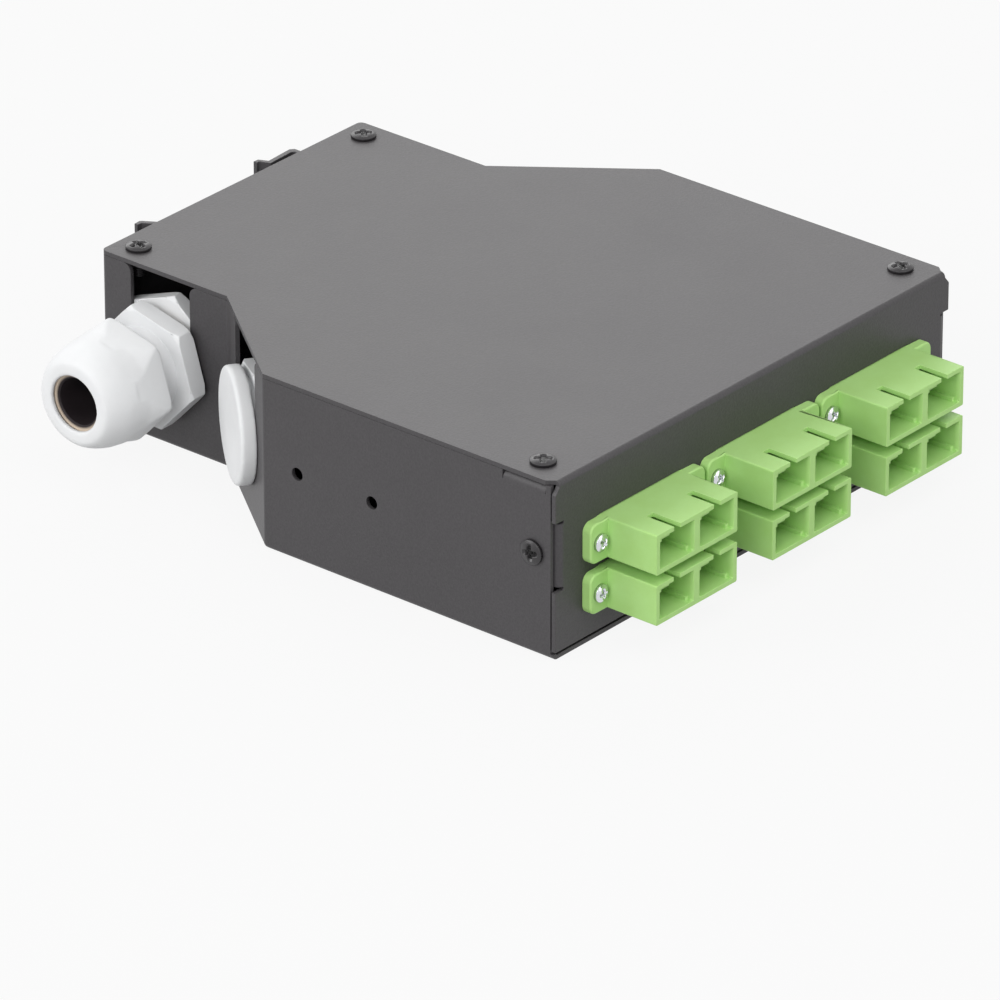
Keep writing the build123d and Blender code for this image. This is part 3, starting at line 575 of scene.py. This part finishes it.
@dataclass
class SoftEdges:
    """Copies a node and breaks its sharp edges, so that they catch the light."""

    palette: Palette
    width: float = 0.12
    segments: int = 2
    angle: float = 34.0

    def build(self, node: str, *first: Change) -> None:
        """Makes the piece.

        Args:
            node: The node it is made from and stands for.
            *first: Changes to make to the copy before its edges are broken.
        """
        mesh = changed_copy(node, f"{node}_soft", *first, weld, clear_flats)
        mesh.materials.clear()
        mesh.materials.append(self.palette.of_node(node))
        mesh.shade_smooth()
        obj = add_object(f"{node}_finished", mesh)
        bevel = obj.modifiers.new("broken_edges", "BEVEL")
        bevel.width = self.width * MM
        bevel.segments = self.segments
        bevel.limit_method = "ANGLE"
        bevel.angle_limit = math.radians(self.angle)
        bevel.use_clamp_overlap = False
        bevel.miter_outer = "MITER_ARC"
        level = obj.modifiers.new("flat_faces", "WEIGHTED_NORMAL")
        level.mode = "FACE_AREA_WITH_ANGLE"
        level.keep_sharp = False
        done = plain_mesh(obj, mesh.name)
        obj.modifiers.clear()
        obj.data = done
        stand_for(obj, [node])


@dataclass
class SoftMoulding:
    """Rebuilds a moulded node in small even cells and rounds off every edge of it."""

    palette: Palette
    cell: float = 0.28
    passes: int = 14

    def build(self, node: str, *then: Change) -> None:
        """Makes the piece.

        Args:
            node: The node it is made from and stands for.
            *then: Changes to make to the copy before it is rounded off.
        """
        mesh = changed_copy(node, f"{node}_moulded", weld, *then)
        obj = add_object(f"{node}_finished", mesh)
        cells = obj.modifiers.new("even_cells", "REMESH")
        cells.mode = "VOXEL"
        cells.voxel_size = self.cell * MM
        cells.use_smooth_shade = True
        ease = obj.modifiers.new("rounded_off", "SMOOTH")
        ease.factor = 0.5
        ease.iterations = self.passes
        done = plain_mesh(obj, mesh.name)
        obj.modifiers.clear()
        done.materials.clear()
        done.materials.append(self.palette.of_node(node))
        done.shade_smooth()
        obj.data = done
        stand_for(obj, [node])


@dataclass(frozen=True)
class FastenerSize:
    """Sizes of one kind of pan-head screw."""

    name: str
    nodes: tuple[str, ...]
    head_d: float
    head_h: float
    shank_d: float
    shank_l: float
    pitch: float
    recess_w: float
    recess_r: float
    recess_depth: float
    seed: int


class FastenerMaker:
    """Builds screws with a crowned head, a cross recess and a rolled thread.

    The numbers in capitals are shares of the screw's own sizes, and counts of cells.
    """

    SOCKETS = (
        ("Head Radius", 3.0), ("Head Height", 1.9), ("Shank Radius", 1.5), ("Shank Length", 6.0),
        ("Pitch", 0.5), ("Recess Width", 0.8), ("Recess Reach", 1.7), ("Recess Depth", 1.1),
    )
    RINGS, SPOKES = 30, 96
    CROWN_POWER, CROWN_FALL, SKIRT_SHARE = 2.6, 0.52, 0.48
    RECESS_FLOOR, RECESS_START = 0.55, 0.35
    SHANK_SIDES, SHANK_SHARE = 32, 0.86
    RIDGE_SHARE, RIDGE_SIZE, RIDGE_SIDES = 0.9, 0.1, 4
    HELIX_STEPS, HELIX_LENGTH, HELIX_FOOT = 20, 0.97, -0.985

    def __init__(self, palette: Palette) -> None:
        """Builds the node tree.

        Args:
            palette: The materials of the box.
        """
        self.palette = palette
        self.tree = self._tree()

    def _tree(self) -> bpy.types.NodeTree:
        """Builds the tree that sets one screw on each point.

        Returns:
            The geometry node tree.
        """
        inputs: dict[str, tuple[str, Any]] = {"Points": (SHAPE, None)}
        inputs |= {name: (FLOAT, value * MM) for name, value in self.SOCKETS}
        inputs |= {"Seed": ("NodeSocketInt", 1), "Finish": ("NodeSocketMaterial", None)}
        outputs = {"Screws": SHAPE}
        tree, source, sink = group_tree("screws_on_points", "GeometryNodeTree", inputs, outputs)
        get = source.outputs
        whole = tree.add("GeometryNodeJoinGeometry")
        for part in (*self._shank(tree, get), self._skirt(tree, get), self._crown(tree, get)):
            tree.tree.links.new(part, whole.inputs[0])
        weld = {"Geometry": whole.outputs[0], "Distance": WELD}
        welded = tree.add("GeometryNodeMergeByDistance", weld)
        smooth = tree.add("GeometryNodeSetShadeSmooth", {"Geometry": welded.outputs[0]})
        aim = tree.add("GeometryNodeInputNamedAttribute", {"Name": "outward"}, data_type="FLOAT_VECTOR")
        align = tree.add("FunctionNodeAlignRotationToVector", {"Vector": aim.outputs[0]}, axis="Z")
        turn = {2: 0.0, 3: math.tau, "Seed": get["Seed"]}
        spin = tree.add("FunctionNodeRandomValue", turn, data_type="FLOAT")
        about = {"Axis": (0.0, 0.0, 1.0), "Angle": spin.outputs[1]}
        twist = tree.add("FunctionNodeAxisAngleToRotation", about)
        both = {0: align.outputs[0], 1: twist.outputs[0]}
        turned = tree.add("FunctionNodeRotateRotation", both, rotation_space="LOCAL")
        spots = {"Points": get["Points"], "Instance": smooth.outputs[0], "Rotation": turned.outputs[0]}
        each = tree.add("GeometryNodeInstanceOnPoints", spots)
        finish_tree(tree, each.outputs[0], get["Finish"], sink)
        return tree.tree

    def _crown(self, tree: Tree, get: Any) -> bpy.types.NodeSocket:
        """Gives the mesh of the crowned top, with the depth of its cross recess as an attribute."""
        squares = {"Size X": 1.0, "Size Y": 1.0, "Vertices X": self.RINGS, "Vertices Y": self.SPOKES + 1}
        grid = tree.add("GeometryNodeMeshGrid", squares)
        place = tree.add(Node.SPLIT, {0: tree.add("GeometryNodeInputPosition").outputs[0]})
        reach = tree.math("ADD", place.outputs[0], 0.5)
        angle = tree.math("MULTIPLY", tree.math("ADD", place.outputs[1], 0.5), math.tau)
        radius = tree.math("MULTIPLY", reach, get["Head Radius"])
        flat_x = tree.math("MULTIPLY", radius, tree.math("COSINE", angle))
        flat_y = tree.math("MULTIPLY", radius, tree.math("SINE", angle))
        fall = tree.math("POWER", reach, self.CROWN_POWER)
        crown = tree.math("SUBTRACT", 1.0, tree.math("MULTIPLY", fall, self.CROWN_FALL))
        across, along = (tree.math("ABSOLUTE", value) for value in (flat_x, flat_y))
        wide, thin = (tree.math(pick, across, along) for pick in ("MAXIMUM", "MINIMUM"))
        half = tree.math("MULTIPLY", get["Recess Width"], 0.5)
        edge = tree.math("MULTIPLY", half, self.RECESS_FLOOR)
        lane = tree.spread(thin, edge, half, 1.0, 0.0)
        short = tree.math("MULTIPLY", get["Recess Reach"], self.RECESS_START)
        stop = tree.spread(wide, short, get["Recess Reach"], 1.0, 0.0)
        hollow = tree.math("MULTIPLY", lane, stop)
        sunk = tree.math("MULTIPLY", hollow, get["Recess Depth"])
        top = tree.math("SUBTRACT", tree.math("MULTIPLY", crown, get["Head Height"]), sunk)
        mark = {"Geometry": grid.outputs[0], "Name": "recess", "Value": hollow}
        marked = tree.add("GeometryNodeStoreNamedAttribute", mark, data_type="FLOAT", domain="POINT")
        spot = tree.add(Node.JOIN, {0: flat_x, 1: flat_y, 2: top}).outputs[0]
        move = {"Geometry": marked.outputs[0], "Position": spot}
        return tree.add("GeometryNodeSetPosition", move).outputs[0]

    def _skirt(self, tree: Tree, get: Any) -> bpy.types.NodeSocket:
        """Gives the mesh of the head's round side."""
        height = tree.math("MULTIPLY", get["Head Height"], self.SKIRT_SHARE)
        drum = {"Vertices": self.SPOKES, "Radius": get["Head Radius"], "Depth": height}
        skirt = tree.add("GeometryNodeMeshCylinder", drum, fill_type="NGON")
        return raise_by(tree, skirt.outputs[0], tree.math("MULTIPLY", height, 0.5))

    def _shank(self, tree: Tree, get: Any) -> tuple[bpy.types.NodeSocket, bpy.types.NodeSocket]:
        """Gives the mesh of the thread and that of the shank it is wound round."""
        length, radius = get["Shank Length"], get["Shank Radius"]
        core = tree.math("MULTIPLY", radius, self.SHANK_SHARE)
        drum = {"Vertices": self.SHANK_SIDES, "Radius": core, "Depth": length}
        shank = tree.add("GeometryNodeMeshCylinder", drum)
        ridge_r = tree.math("MULTIPLY", radius, self.RIDGE_SHARE)
        coil = {
            "Resolution": self.HELIX_STEPS, "Rotations": tree.math("DIVIDE", length, get["Pitch"]),
            "Start Radius": ridge_r, "End Radius": ridge_r,
            "Height": tree.math("MULTIPLY", length, self.HELIX_LENGTH),
        }
        helix = tree.add("GeometryNodeCurveSpiral", coil)
        low = raise_by(tree, helix.outputs[0], tree.math("MULTIPLY", length, self.HELIX_FOOT))
        ring = {"Resolution": self.RIDGE_SIDES, "Radius": tree.math("MULTIPLY", radius, self.RIDGE_SIZE)}
        ridge = tree.add("GeometryNodeCurvePrimitiveCircle", ring)
        sweep = {"Curve": low, "Profile Curve": ridge.outputs[0], "Fill Caps": True}
        thread = tree.add("GeometryNodeCurveToMesh", sweep).outputs[0]
        return thread, raise_by(tree, shank.outputs[0], tree.math("MULTIPLY", length, -0.5))

    def build(self, size: FastenerSize, spots: Sequence[tuple[Point, Point]]) -> None:
        """Sets screws at the places given.

        Args:
            size: Sizes of the screw.
            spots: Foot of each head in millimetres, and the way it faces.
        """
        mesh = bpy.data.meshes.new(f"{size.name}_points")
        mesh.from_pydata([Vector(foot) * MM for foot, _ in spots], [], [])
        aim = mesh.attributes.new("outward", "FLOAT_VECTOR", "POINT")
        aim.data.foreach_set("vector", np.array([way for _, way in spots], float).ravel())
        obj = add_object(size.name, mesh)
        values = {
            "Head Radius": size.head_d / 2, "Head Height": size.head_h, "Shank Radius": size.shank_d / 2,
            "Shank Length": size.shank_l, "Pitch": size.pitch, "Recess Width": size.recess_w,
            "Recess Reach": size.recess_r, "Recess Depth": size.recess_depth,
        }
        settings: dict[str, Any] = {name: value * MM for name, value in values.items()}
        settings |= {"Seed": size.seed, "Finish": self.palette.of_node(size.nodes[0])}
        obj.data = run_tree(obj, self.tree, settings)
        stand_for(obj, size.nodes)


def run_tree(obj: bpy.types.Object, tree: bpy.types.NodeTree, values: dict[str, Any]) -> bpy.types.Mesh:
    """Runs a geometry node tree on an object and takes the result as a plain mesh.

    Args:
        obj: The object whose mesh goes in.
        tree: The geometry node tree.
        values: Input name to its value.

    Returns:
        The finished mesh.
    """
    modifier = obj.modifiers.new(tree.name, "NODES")
    modifier.node_group = tree
    ids = {item.name: item.identifier for item in tree.interface.items_tree if item.in_out == "INPUT"}
    for name, value in values.items():
        modifier[ids[name]] = value
    mesh = plain_mesh(obj, f"{obj.name}_mesh")
    obj.modifiers.remove(modifier)
    return mesh


@dataclass
class Housing:
    """The folded base and cover.

    The three numbers in capitals say how far a corner of a mesh may lie from its drawn place: in
    general, at the slits, and on an arc.
    """

    NEAR, SLIT_NEAR, ARC_NEAR = 0.01, 0.02, 0.05

    palette: Palette
    rear_corner: tuple[float, float] = (41.5, 71.0)
    cut_radius: float = 2.5
    corner_radius: float = 1.3
    front_edge: tuple[float, float] = (-71.0, 40.0)
    bend_outer: float = 2.0
    sheet: float = 1.0
    tight_bend: float = 1.15
    half_width: float = 64.0
    notch_in: float = 0.6
    nip: float = 0.7
    slit_depth: float = 2.0
    wall_top: float = 38.94
    slits: tuple[tuple[float, float], ...] = ((-69.1, -68.4), (-56.5, -57.2))

    def build(self) -> None:
        """Gives both sheets their broken edges."""
        soften = SoftEdges(self.palette, width=0.07)
        soften.build("base_shell", self._close_slits)
        soften.build("cover", self._true_up)

    def _true_up(self, work: bmesh.types.BMesh) -> None:
        """Sharpens the lid's rear corners and its front bend, and nips its front corners.

        Args:
            work: The cover's copy.
        """
        self._tighten_corners(work)
        self._nip_corners(work)
        self._tighten_bend(work)

    def _close_slits(self, work: bmesh.types.BMesh) -> None:
        """Narrows the relief slits beside the front ears to a hairline.

        Args:
            work: The base's copy.
        """
        inner, outer = self.half_width - self.sheet - self.NEAR, self.half_width + self.NEAR
        low = self.wall_top - self.slit_depth - self.SLIT_NEAR
        for vert in work.verts:
            if inner < abs(vert.co.x) / MM < outer and vert.co.z / MM > low:
                for old, new in self.slits:
                    if abs(vert.co.y / MM - old) < self.SLIT_NEAR:
                        vert.co.y = new * MM

    def _nip_corners(self, work: bmesh.types.BMesh) -> None:
        """Opens the small notch at each front corner into a slanted one.

        Args:
            work: The cover's copy.
        """
        front, top = self.front_edge
        for vert in work.verts:
            hand = math.copysign(1.0, vert.co.x)
            inward = self.half_width - abs(vert.co.x) / MM
            y, z = vert.co.y / MM - front, vert.co.z / MM - top
            if y >= self.bend_outer + self.NEAR or z <= -self.bend_outer - self.NEAR:
                continue
            if abs(inward - self.notch_in) < self.NEAR:
                vert.co.x -= hand * self.nip * MM
            elif inward < self.NEAR and abs(y - self.bend_outer) < self.NEAR:
                vert.co.y += self.nip * MM
            elif inward < self.NEAR and abs(z + self.bend_outer) < self.NEAR:
                vert.co.z -= self.nip * MM

    def _tighten_bend(self, work: bmesh.types.BMesh) -> None:
        """Folds the sheet more tightly where the lid turns down to the front panel.

        Args:
            work: The cover's copy.
        """
        front, top = self.front_edge
        for vert in work.verts:
            back = vert.co.y / MM - (front + self.bend_outer)
            rise = vert.co.z / MM - (top - self.bend_outer)
            reach = math.hypot(back, rise)
            for old in (self.bend_outer, self.bend_outer - self.sheet):
                if back < self.NEAR and rise > -self.NEAR and abs(reach - old) < self.ARC_NEAR:
                    step = (old - self.bend_outer + self.tight_bend) / old
                    vert.co.y = (front + self.tight_bend + back * step) * MM
                    vert.co.z = (top - self.tight_bend + rise * step) * MM
                    break

    def _tighten_corners(self, work: bmesh.types.BMesh) -> None:
        """Gives the lid's rear corners the radius of the bends under them.

        Args:
            work: The cover's copy.
        """
        x, y = self.rear_corner
        for vert in work.verts:
            hand = math.copysign(1.0, vert.co.x)
            across = abs(vert.co.x) / MM - (x - self.cut_radius)
            along = vert.co.y / MM - (y - self.cut_radius)
            reach = math.hypot(across, along)
            on_arc = abs(reach - self.cut_radius) < self.ARC_NEAR
            if across > -self.NEAR and along > -self.NEAR and on_arc:
                step = self.corner_radius / reach
                vert.co.x = hand * (x - self.corner_radius + across * step) * MM
                vert.co.y = (y - self.corner_radius + along * step) * MM


@dataclass
class Couplers:
    """The six duplex couplers and what is inside them."""

    palette: Palette
    count: int = 6

    def build(self) -> None:
        """Softens the outer mouldings and dresses the inner pieces."""
        soften = SoftEdges(self.palette, width=0.1)
        for number in range(1, self.count + 1):
            soften.build(f"coupler_{number}_housing")
            self.palette.dress(f"coupler_{number}_holders")
            self.palette.dress(f"coupler_{number}_sleeves")
        self.palette.dress("coupler_nuts")


@dataclass
class Gland:
    """The cable gland and the blanking plug beside it."""

    palette: Palette
    axis: tuple[float, float] = (54.6, 19.5)
    nut_foot_x: float = -52.1
    dome_start: tuple[float, float] = (7.5, 12.0)
    dome_end: tuple[float, float] = (16.7, 8.3)
    dome_pull: tuple[float, float] = (0.35, 0.6)
    dome_steps: int = 60

    def build(self) -> None:
        """Softens the mouldings and dresses the rubber."""
        soften = SoftEdges(self.palette, width=0.22, segments=3, angle=28.0)
        for node in ("gland_body", "gland_lock_nut", "blank_plug_nut"):
            soften.build(node)
        SoftMoulding(self.palette, passes=18).build("blank_plug")
        SoftMoulding(self.palette).build("gland_dome_nut", self._ease_dome)
        for node in ("gland_seal", "gland_gasket"):
            self.palette.dress(node)

    def _ease_dome(self, work: bmesh.types.BMesh) -> None:
        """Holds the clamping nut inside a dome that starts to close in from its flats.

        Args:
            work: The nut's copy.
        """
        (low, wide), (top, narrow) = self.dome_start, self.dome_end
        first, last = self.dome_pull
        share = np.linspace(0.0, 1.0, self.dome_steps)
        sides = ((1 - share) ** 3, 3 * (1 - share) ** 2 * share, 3 * (1 - share) * share**2, share**3)
        height = sides[0] * low + sides[1] * (low + (top - low) * first) + (sides[2] + sides[3]) * top
        pulled = narrow + (wide - narrow) * last
        radius = (sides[0] + sides[1]) * wide + sides[2] * pulled + sides[3] * narrow
        y, z = self.axis
        for vert in work.verts:
            along = self.nut_foot_x - vert.co.x / MM
            offset = Vector((vert.co.y / MM - y, vert.co.z / MM - z))
            most = float(np.interp(along, height, radius))
            if along > low and offset.length > most:
                offset *= most / offset.length
                vert.co.y, vert.co.z = (y + offset.x) * MM, (z + offset.y) * MM


@dataclass
class Fasteners:
    """The screws of the cover, of the couplers and of the tray."""

    palette: Palette
    cover_z: float = 40.0
    rear: tuple[float, float] = (36.0, 65.4)
    front: tuple[float, float] = (58.0, -62.8)
    side: Point = (64.0, -65.0, 23.0)
    flange_y: float = -73.2
    coupler_pitch: float = 37.3
    hole_reach: float = 15.4
    rows: tuple[float, float] = (23.35, 12.0)
    tray: Point = (38.0, 20.0, 14.4)
    tray_mid_y: float = -4.0

    def build(self) -> None:
        """Sets every screw."""
        maker = FastenerMaker(self.palette)
        hands = (-1, 1)
        up, front = (0.0, 0.0, 1.0), (0.0, -1.0, 0.0)
        lid = [((h * x, y, self.cover_z), up) for x, y in (self.rear, self.front) for h in hands]
        black = dict(
            head_d=5.5, head_h=1.15, shank_d=3.0, shank_l=6.0, pitch=0.5,
            recess_w=1.3, recess_r=2.0, recess_depth=1.1,
        )
        maker.build(FastenerSize("lid_screw_set", ("lid_screws",), seed=4, **black), lid)
        sides = [((h * self.side[0], self.side[1], self.side[2]), (float(h), 0.0, 0.0)) for h in hands]
        maker.build(FastenerSize("side_screw_set", ("side_screws",), seed=9, **black), sides)
        spots = [
            ((column * self.coupler_pitch + h * self.hole_reach, self.flange_y, z), front)
            for z in self.rows for column in (-1, 0, 1) for h in hands
        ]
        small = dict(
            head_d=3.9, head_h=1.3, shank_d=2.0, shank_l=5.5, pitch=0.4,
            recess_w=0.8, recess_r=1.25, recess_depth=0.8,
        )
        maker.build(FastenerSize("coupler_screw_set", ("coupler_screws",), seed=3, **small), spots)
        x, y, z = self.tray
        posts = [((h * x, self.tray_mid_y + end * y, z), up) for h in hands for end in hands]
        tray = dict(
            head_d=5.6, head_h=1.8, shank_d=3.0, shank_l=6.2, pitch=0.5,
            recess_w=1.0, recess_r=1.7, recess_depth=1.1,
        )
        maker.build(FastenerSize("tray_screw_set", ("tray_screws",), seed=6, **tray), posts)


@dataclass
class RailClip:
    """The clip behind the box: plate, latch, spring and rivets."""

    COIL_STEPS, WIRE_SIDES, CLOSED_SHARE = 28, 10, 0.35

    palette: Palette
    spring_low: Point = (-4.5, 72.75, 20.0)
    spring_length: float = 13.0
    spring_radius: float = 1.6
    wire: float = 0.45
    turns: float = 9.0
    squeezed: float = 9.0

    def build(self) -> None:
        """Softens the folded metal and winds the spring."""
        soften = SoftEdges(self.palette)
        for node in ("rail_bracket", "rail_latch", "rail_rivets"):
            soften.build(node)
        self._spring()

    def _tree(self) -> bpy.types.NodeTree:
        """Builds the tree of a coil spring with closed ends.

        Returns:
            The geometry node tree.
        """
        inputs: dict[str, tuple[str, Any]] = {
            "Start": ("NodeSocketVector", None), "Length": (FLOAT, self.spring_length * MM),
            "Radius": (FLOAT, self.spring_radius * MM), "Wire": (FLOAT, self.wire * MM),
            "Turns": (FLOAT, self.turns), "Finish": ("NodeSocketMaterial", None),
        }
        tree, source, sink = group_tree("coil_spring", "GeometryNodeTree", inputs, {"Spring": SHAPE})
        get = source.outputs
        half = tree.math("MULTIPLY", get["Wire"], 0.5)
        mean = tree.math("SUBTRACT", get["Radius"], half)
        rise = tree.math("SUBTRACT", get["Length"], get["Wire"])
        winding = {
            "Resolution": self.COIL_STEPS, "Rotations": get["Turns"], "Start Radius": mean,
            "End Radius": mean, "Height": rise,
        }
        coil = tree.add("GeometryNodeCurveSpiral", winding)
        place = tree.add(Node.SPLIT, {0: tree.add("GeometryNodeInputPosition").outputs[0]})
        share = tree.math("DIVIDE", place.outputs[2], rise)
        eased = tree.add(Node.RAMP, {"Value": share}, interpolation_type="SMOOTHERSTEP").outputs[0]
        closed = tree.blend("FLOAT", self.CLOSED_SHARE, share, eased)
        height = tree.math("MULTIPLY", closed, rise)
        spot = tree.add(Node.JOIN, {0: place.outputs[0], 1: place.outputs[1], 2: height}).outputs[0]
        wound = tree.add("GeometryNodeSetPosition", {"Geometry": coil.outputs[0], "Position": spot})
        inset = tree.add(Node.JOIN, {0: half}).outputs[0]
        lift = tree.add(Node.VECTOR, {0: get["Start"], 1: inset}, operation="ADD").outputs[0]
        lay = {
            "Geometry": wound.outputs[0], "Translation": lift, "Rotation": (0.0, math.pi / 2, 0.0),
        }
        laid = tree.add("GeometryNodeTransform", lay)
        ring = {"Resolution": self.WIRE_SIDES, "Radius": half}
        section = tree.add("GeometryNodeCurvePrimitiveCircle", ring)
        sweep = {"Curve": laid.outputs[0], "Profile Curve": section.outputs[0], "Fill Caps": True}
        wire = tree.add("GeometryNodeCurveToMesh", sweep)
        finish_tree(tree, wire.outputs[0], get["Finish"], sink)
        return tree.tree

    def _spring(self) -> None:
        """Winds the spring, which the latch squeezes."""
        obj = add_object("rail_spring_wound", bpy.data.meshes.new("rail_spring_start"))
        anchor = tuple(value * MM for value in self.spring_low)
        values = {
            "Start": anchor, "Length": self.spring_length * MM, "Radius": self.spring_radius * MM,
            "Wire": self.wire * MM, "Turns": self.turns, "Finish": self.palette.of_node("rail_spring"),
        }
        obj.data = run_tree(obj, self._tree(), values)
        stand_for(obj, ["rail_spring"])
        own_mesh(obj)


@dataclass
class Interior:
    """What lies inside the box, seen through the entry slots only."""

    palette: Palette

    def build(self) -> None:
        """Dresses the pieces inside."""
        soften = SoftEdges(self.palette, width=0.15)
        for node in ("splice_tray", "splice_comb", "cable_anchor"):
            soften.build(node)
        for node in ("tray_posts", "anchor_rivet"):
            self.palette.dress(node)


@dataclass(frozen=True)
class Lamp:
    """One soft box, in metres and watts, aimed at the origin."""

    name: str
    place: Point
    size: float
    power: float


LAMPS = (
    Lamp("key_left", (-1.7, -0.6, 1.05), 1.2, 17.5),
    Lamp("fill_rear", (-1.3, 1.1, 0.8), 1.0, 12.5),
    Lamp("fill_front", (0.5, -1.6, 0.9), 1.2, 4.5),
    Lamp("back_top", (1.1, 1.3, 1.0), 1.4, 12.0),
    Lamp("overhead", (0.0, -0.9, 1.8), 1.4, 10.5),
)


@dataclass
class Studio:
    """Floor, room, lamps and the camera."""

    camera_place: Point = (-1388.646, -1168.537, 913.917)
    azimuth: float = -49.988
    elevation: float = 27.023
    roll: float = -0.039
    lens: float = 349.52
    floor_size: float = 9000.0
    floor_tone: float = 0.5
    floor_glow: float = 0.9
    room_light: float = 0.42

    def build(self) -> None:
        """Sets up everything that isn't the box."""
        self._floor()
        self._lamps()
        self._world()
        self._camera()
        bpy.context.scene.view_settings.view_transform = "Standard"

    def _camera(self) -> None:
        """Places the camera where the photograph was taken from."""
        turn, rise, roll = (math.radians(v) for v in (self.azimuth, self.elevation, self.roll))
        back = Vector((math.sin(turn) * math.cos(rise), -math.cos(turn) * math.cos(rise), math.sin(rise)))
        level = (-back).cross(Vector((0.0, 0.0, 1.0))).normalized()
        upright = level.cross(-back)
        right = level * math.cos(roll) + upright * math.sin(roll)
        up = upright * math.cos(roll) - level * math.sin(roll)
        camera = bpy.data.cameras.new("camera")
        camera.lens = self.lens
        camera.sensor_width = 36.0
        camera.clip_start = 0.05
        camera.clip_end = 50.0
        obj = add_object("camera", camera)
        turned = Matrix((right, up, back)).transposed().to_4x4()
        obj.matrix_world = Matrix.Translation(Vector(self.camera_place) * MM) @ turned
        bpy.context.scene.camera = obj

    def _floor(self) -> None:
        """Lays a pale floor that stays white for the camera and keeps the shadow."""
        half = self.floor_size / 2 * MM
        mesh = bpy.data.meshes.new("studio_floor")
        corners = [(-half, -half, 0), (half, -half, 0), (half, half, 0), (-half, half, 0)]
        mesh.from_pydata(corners, [], [(0, 1, 2, 3)])
        obj = add_object("studio_floor", mesh)
        material = bpy.data.materials.new("pale_floor")
        tree = blank_tree(material)
        grey = (self.floor_tone, self.floor_tone, self.floor_tone, 1.0)
        plain = {"Base Color": grey, "Roughness": 0.9, "Specular IOR Level": 0.1}
        matt = tree.add(Node.PRINCIPLED, plain)
        glow = tree.add("ShaderNodeEmission", {"Color": WHITE, "Strength": 1.0})
        share = tree.math("MULTIPLY", self._seen(tree), self.floor_glow)
        mixed = tree.add("ShaderNodeMixShader", {0: share, 1: matt.outputs[0], 2: glow.outputs[0]})
        out = tree.add(Node.OUTPUT)
        tree.tree.links.new(mixed.outputs[0], out.inputs["Surface"])
        mesh.materials.append(material)

    @staticmethod
    def _seen(tree: Tree) -> bpy.types.NodeSocket:
        """Gives 1 for rays from the camera, also mirrored or through glass, and 0 for the rest."""
        path = tree.add("ShaderNodeLightPath")
        seen = tree.math("MAXIMUM", path.outputs["Is Camera Ray"], path.outputs["Is Glossy Ray"])
        return tree.math("MAXIMUM", seen, path.outputs["Is Transmission Ray"])

    def _lamps(self) -> None:
        """Hangs the soft boxes."""
        for spec in LAMPS:
            lamp = bpy.data.lights.new(spec.name, "AREA")
            lamp.shape = "SQUARE"
            lamp.size = spec.size
            lamp.energy = spec.power
            obj = add_object(spec.name, lamp)
            obj.location = spec.place
            obj.rotation_euler = (-Vector(spec.place)).to_track_quat("-Z", "Y").to_euler()

    def _world(self) -> None:
        """Gives a soft grey room that the camera sees as white."""
        world = bpy.data.worlds.new("studio_room")
        bpy.context.scene.world = world
        tree = blank_tree(world)
        strength = tree.blend("FLOAT", self._seen(tree), self.room_light, 1.0)
        glow = tree.add("ShaderNodeBackground", {"Color": WHITE, "Strength": strength})
        out = tree.add("ShaderNodeOutputWorld")
        tree.tree.links.new(glow.outputs[0], out.inputs["Surface"])


def main() -> None:
    """Builds the box in order and then the studio."""
    logging.basicConfig(level=logging.INFO, format="%(name)s: %(message)s")
    palette = Palette()
    for part in (Housing, Couplers, Gland, Fasteners, RailClip, Interior):
        part(palette).build()
        log.info("%s built", part.__name__)
    Studio().build()


if __name__ == "__main__":
    main()
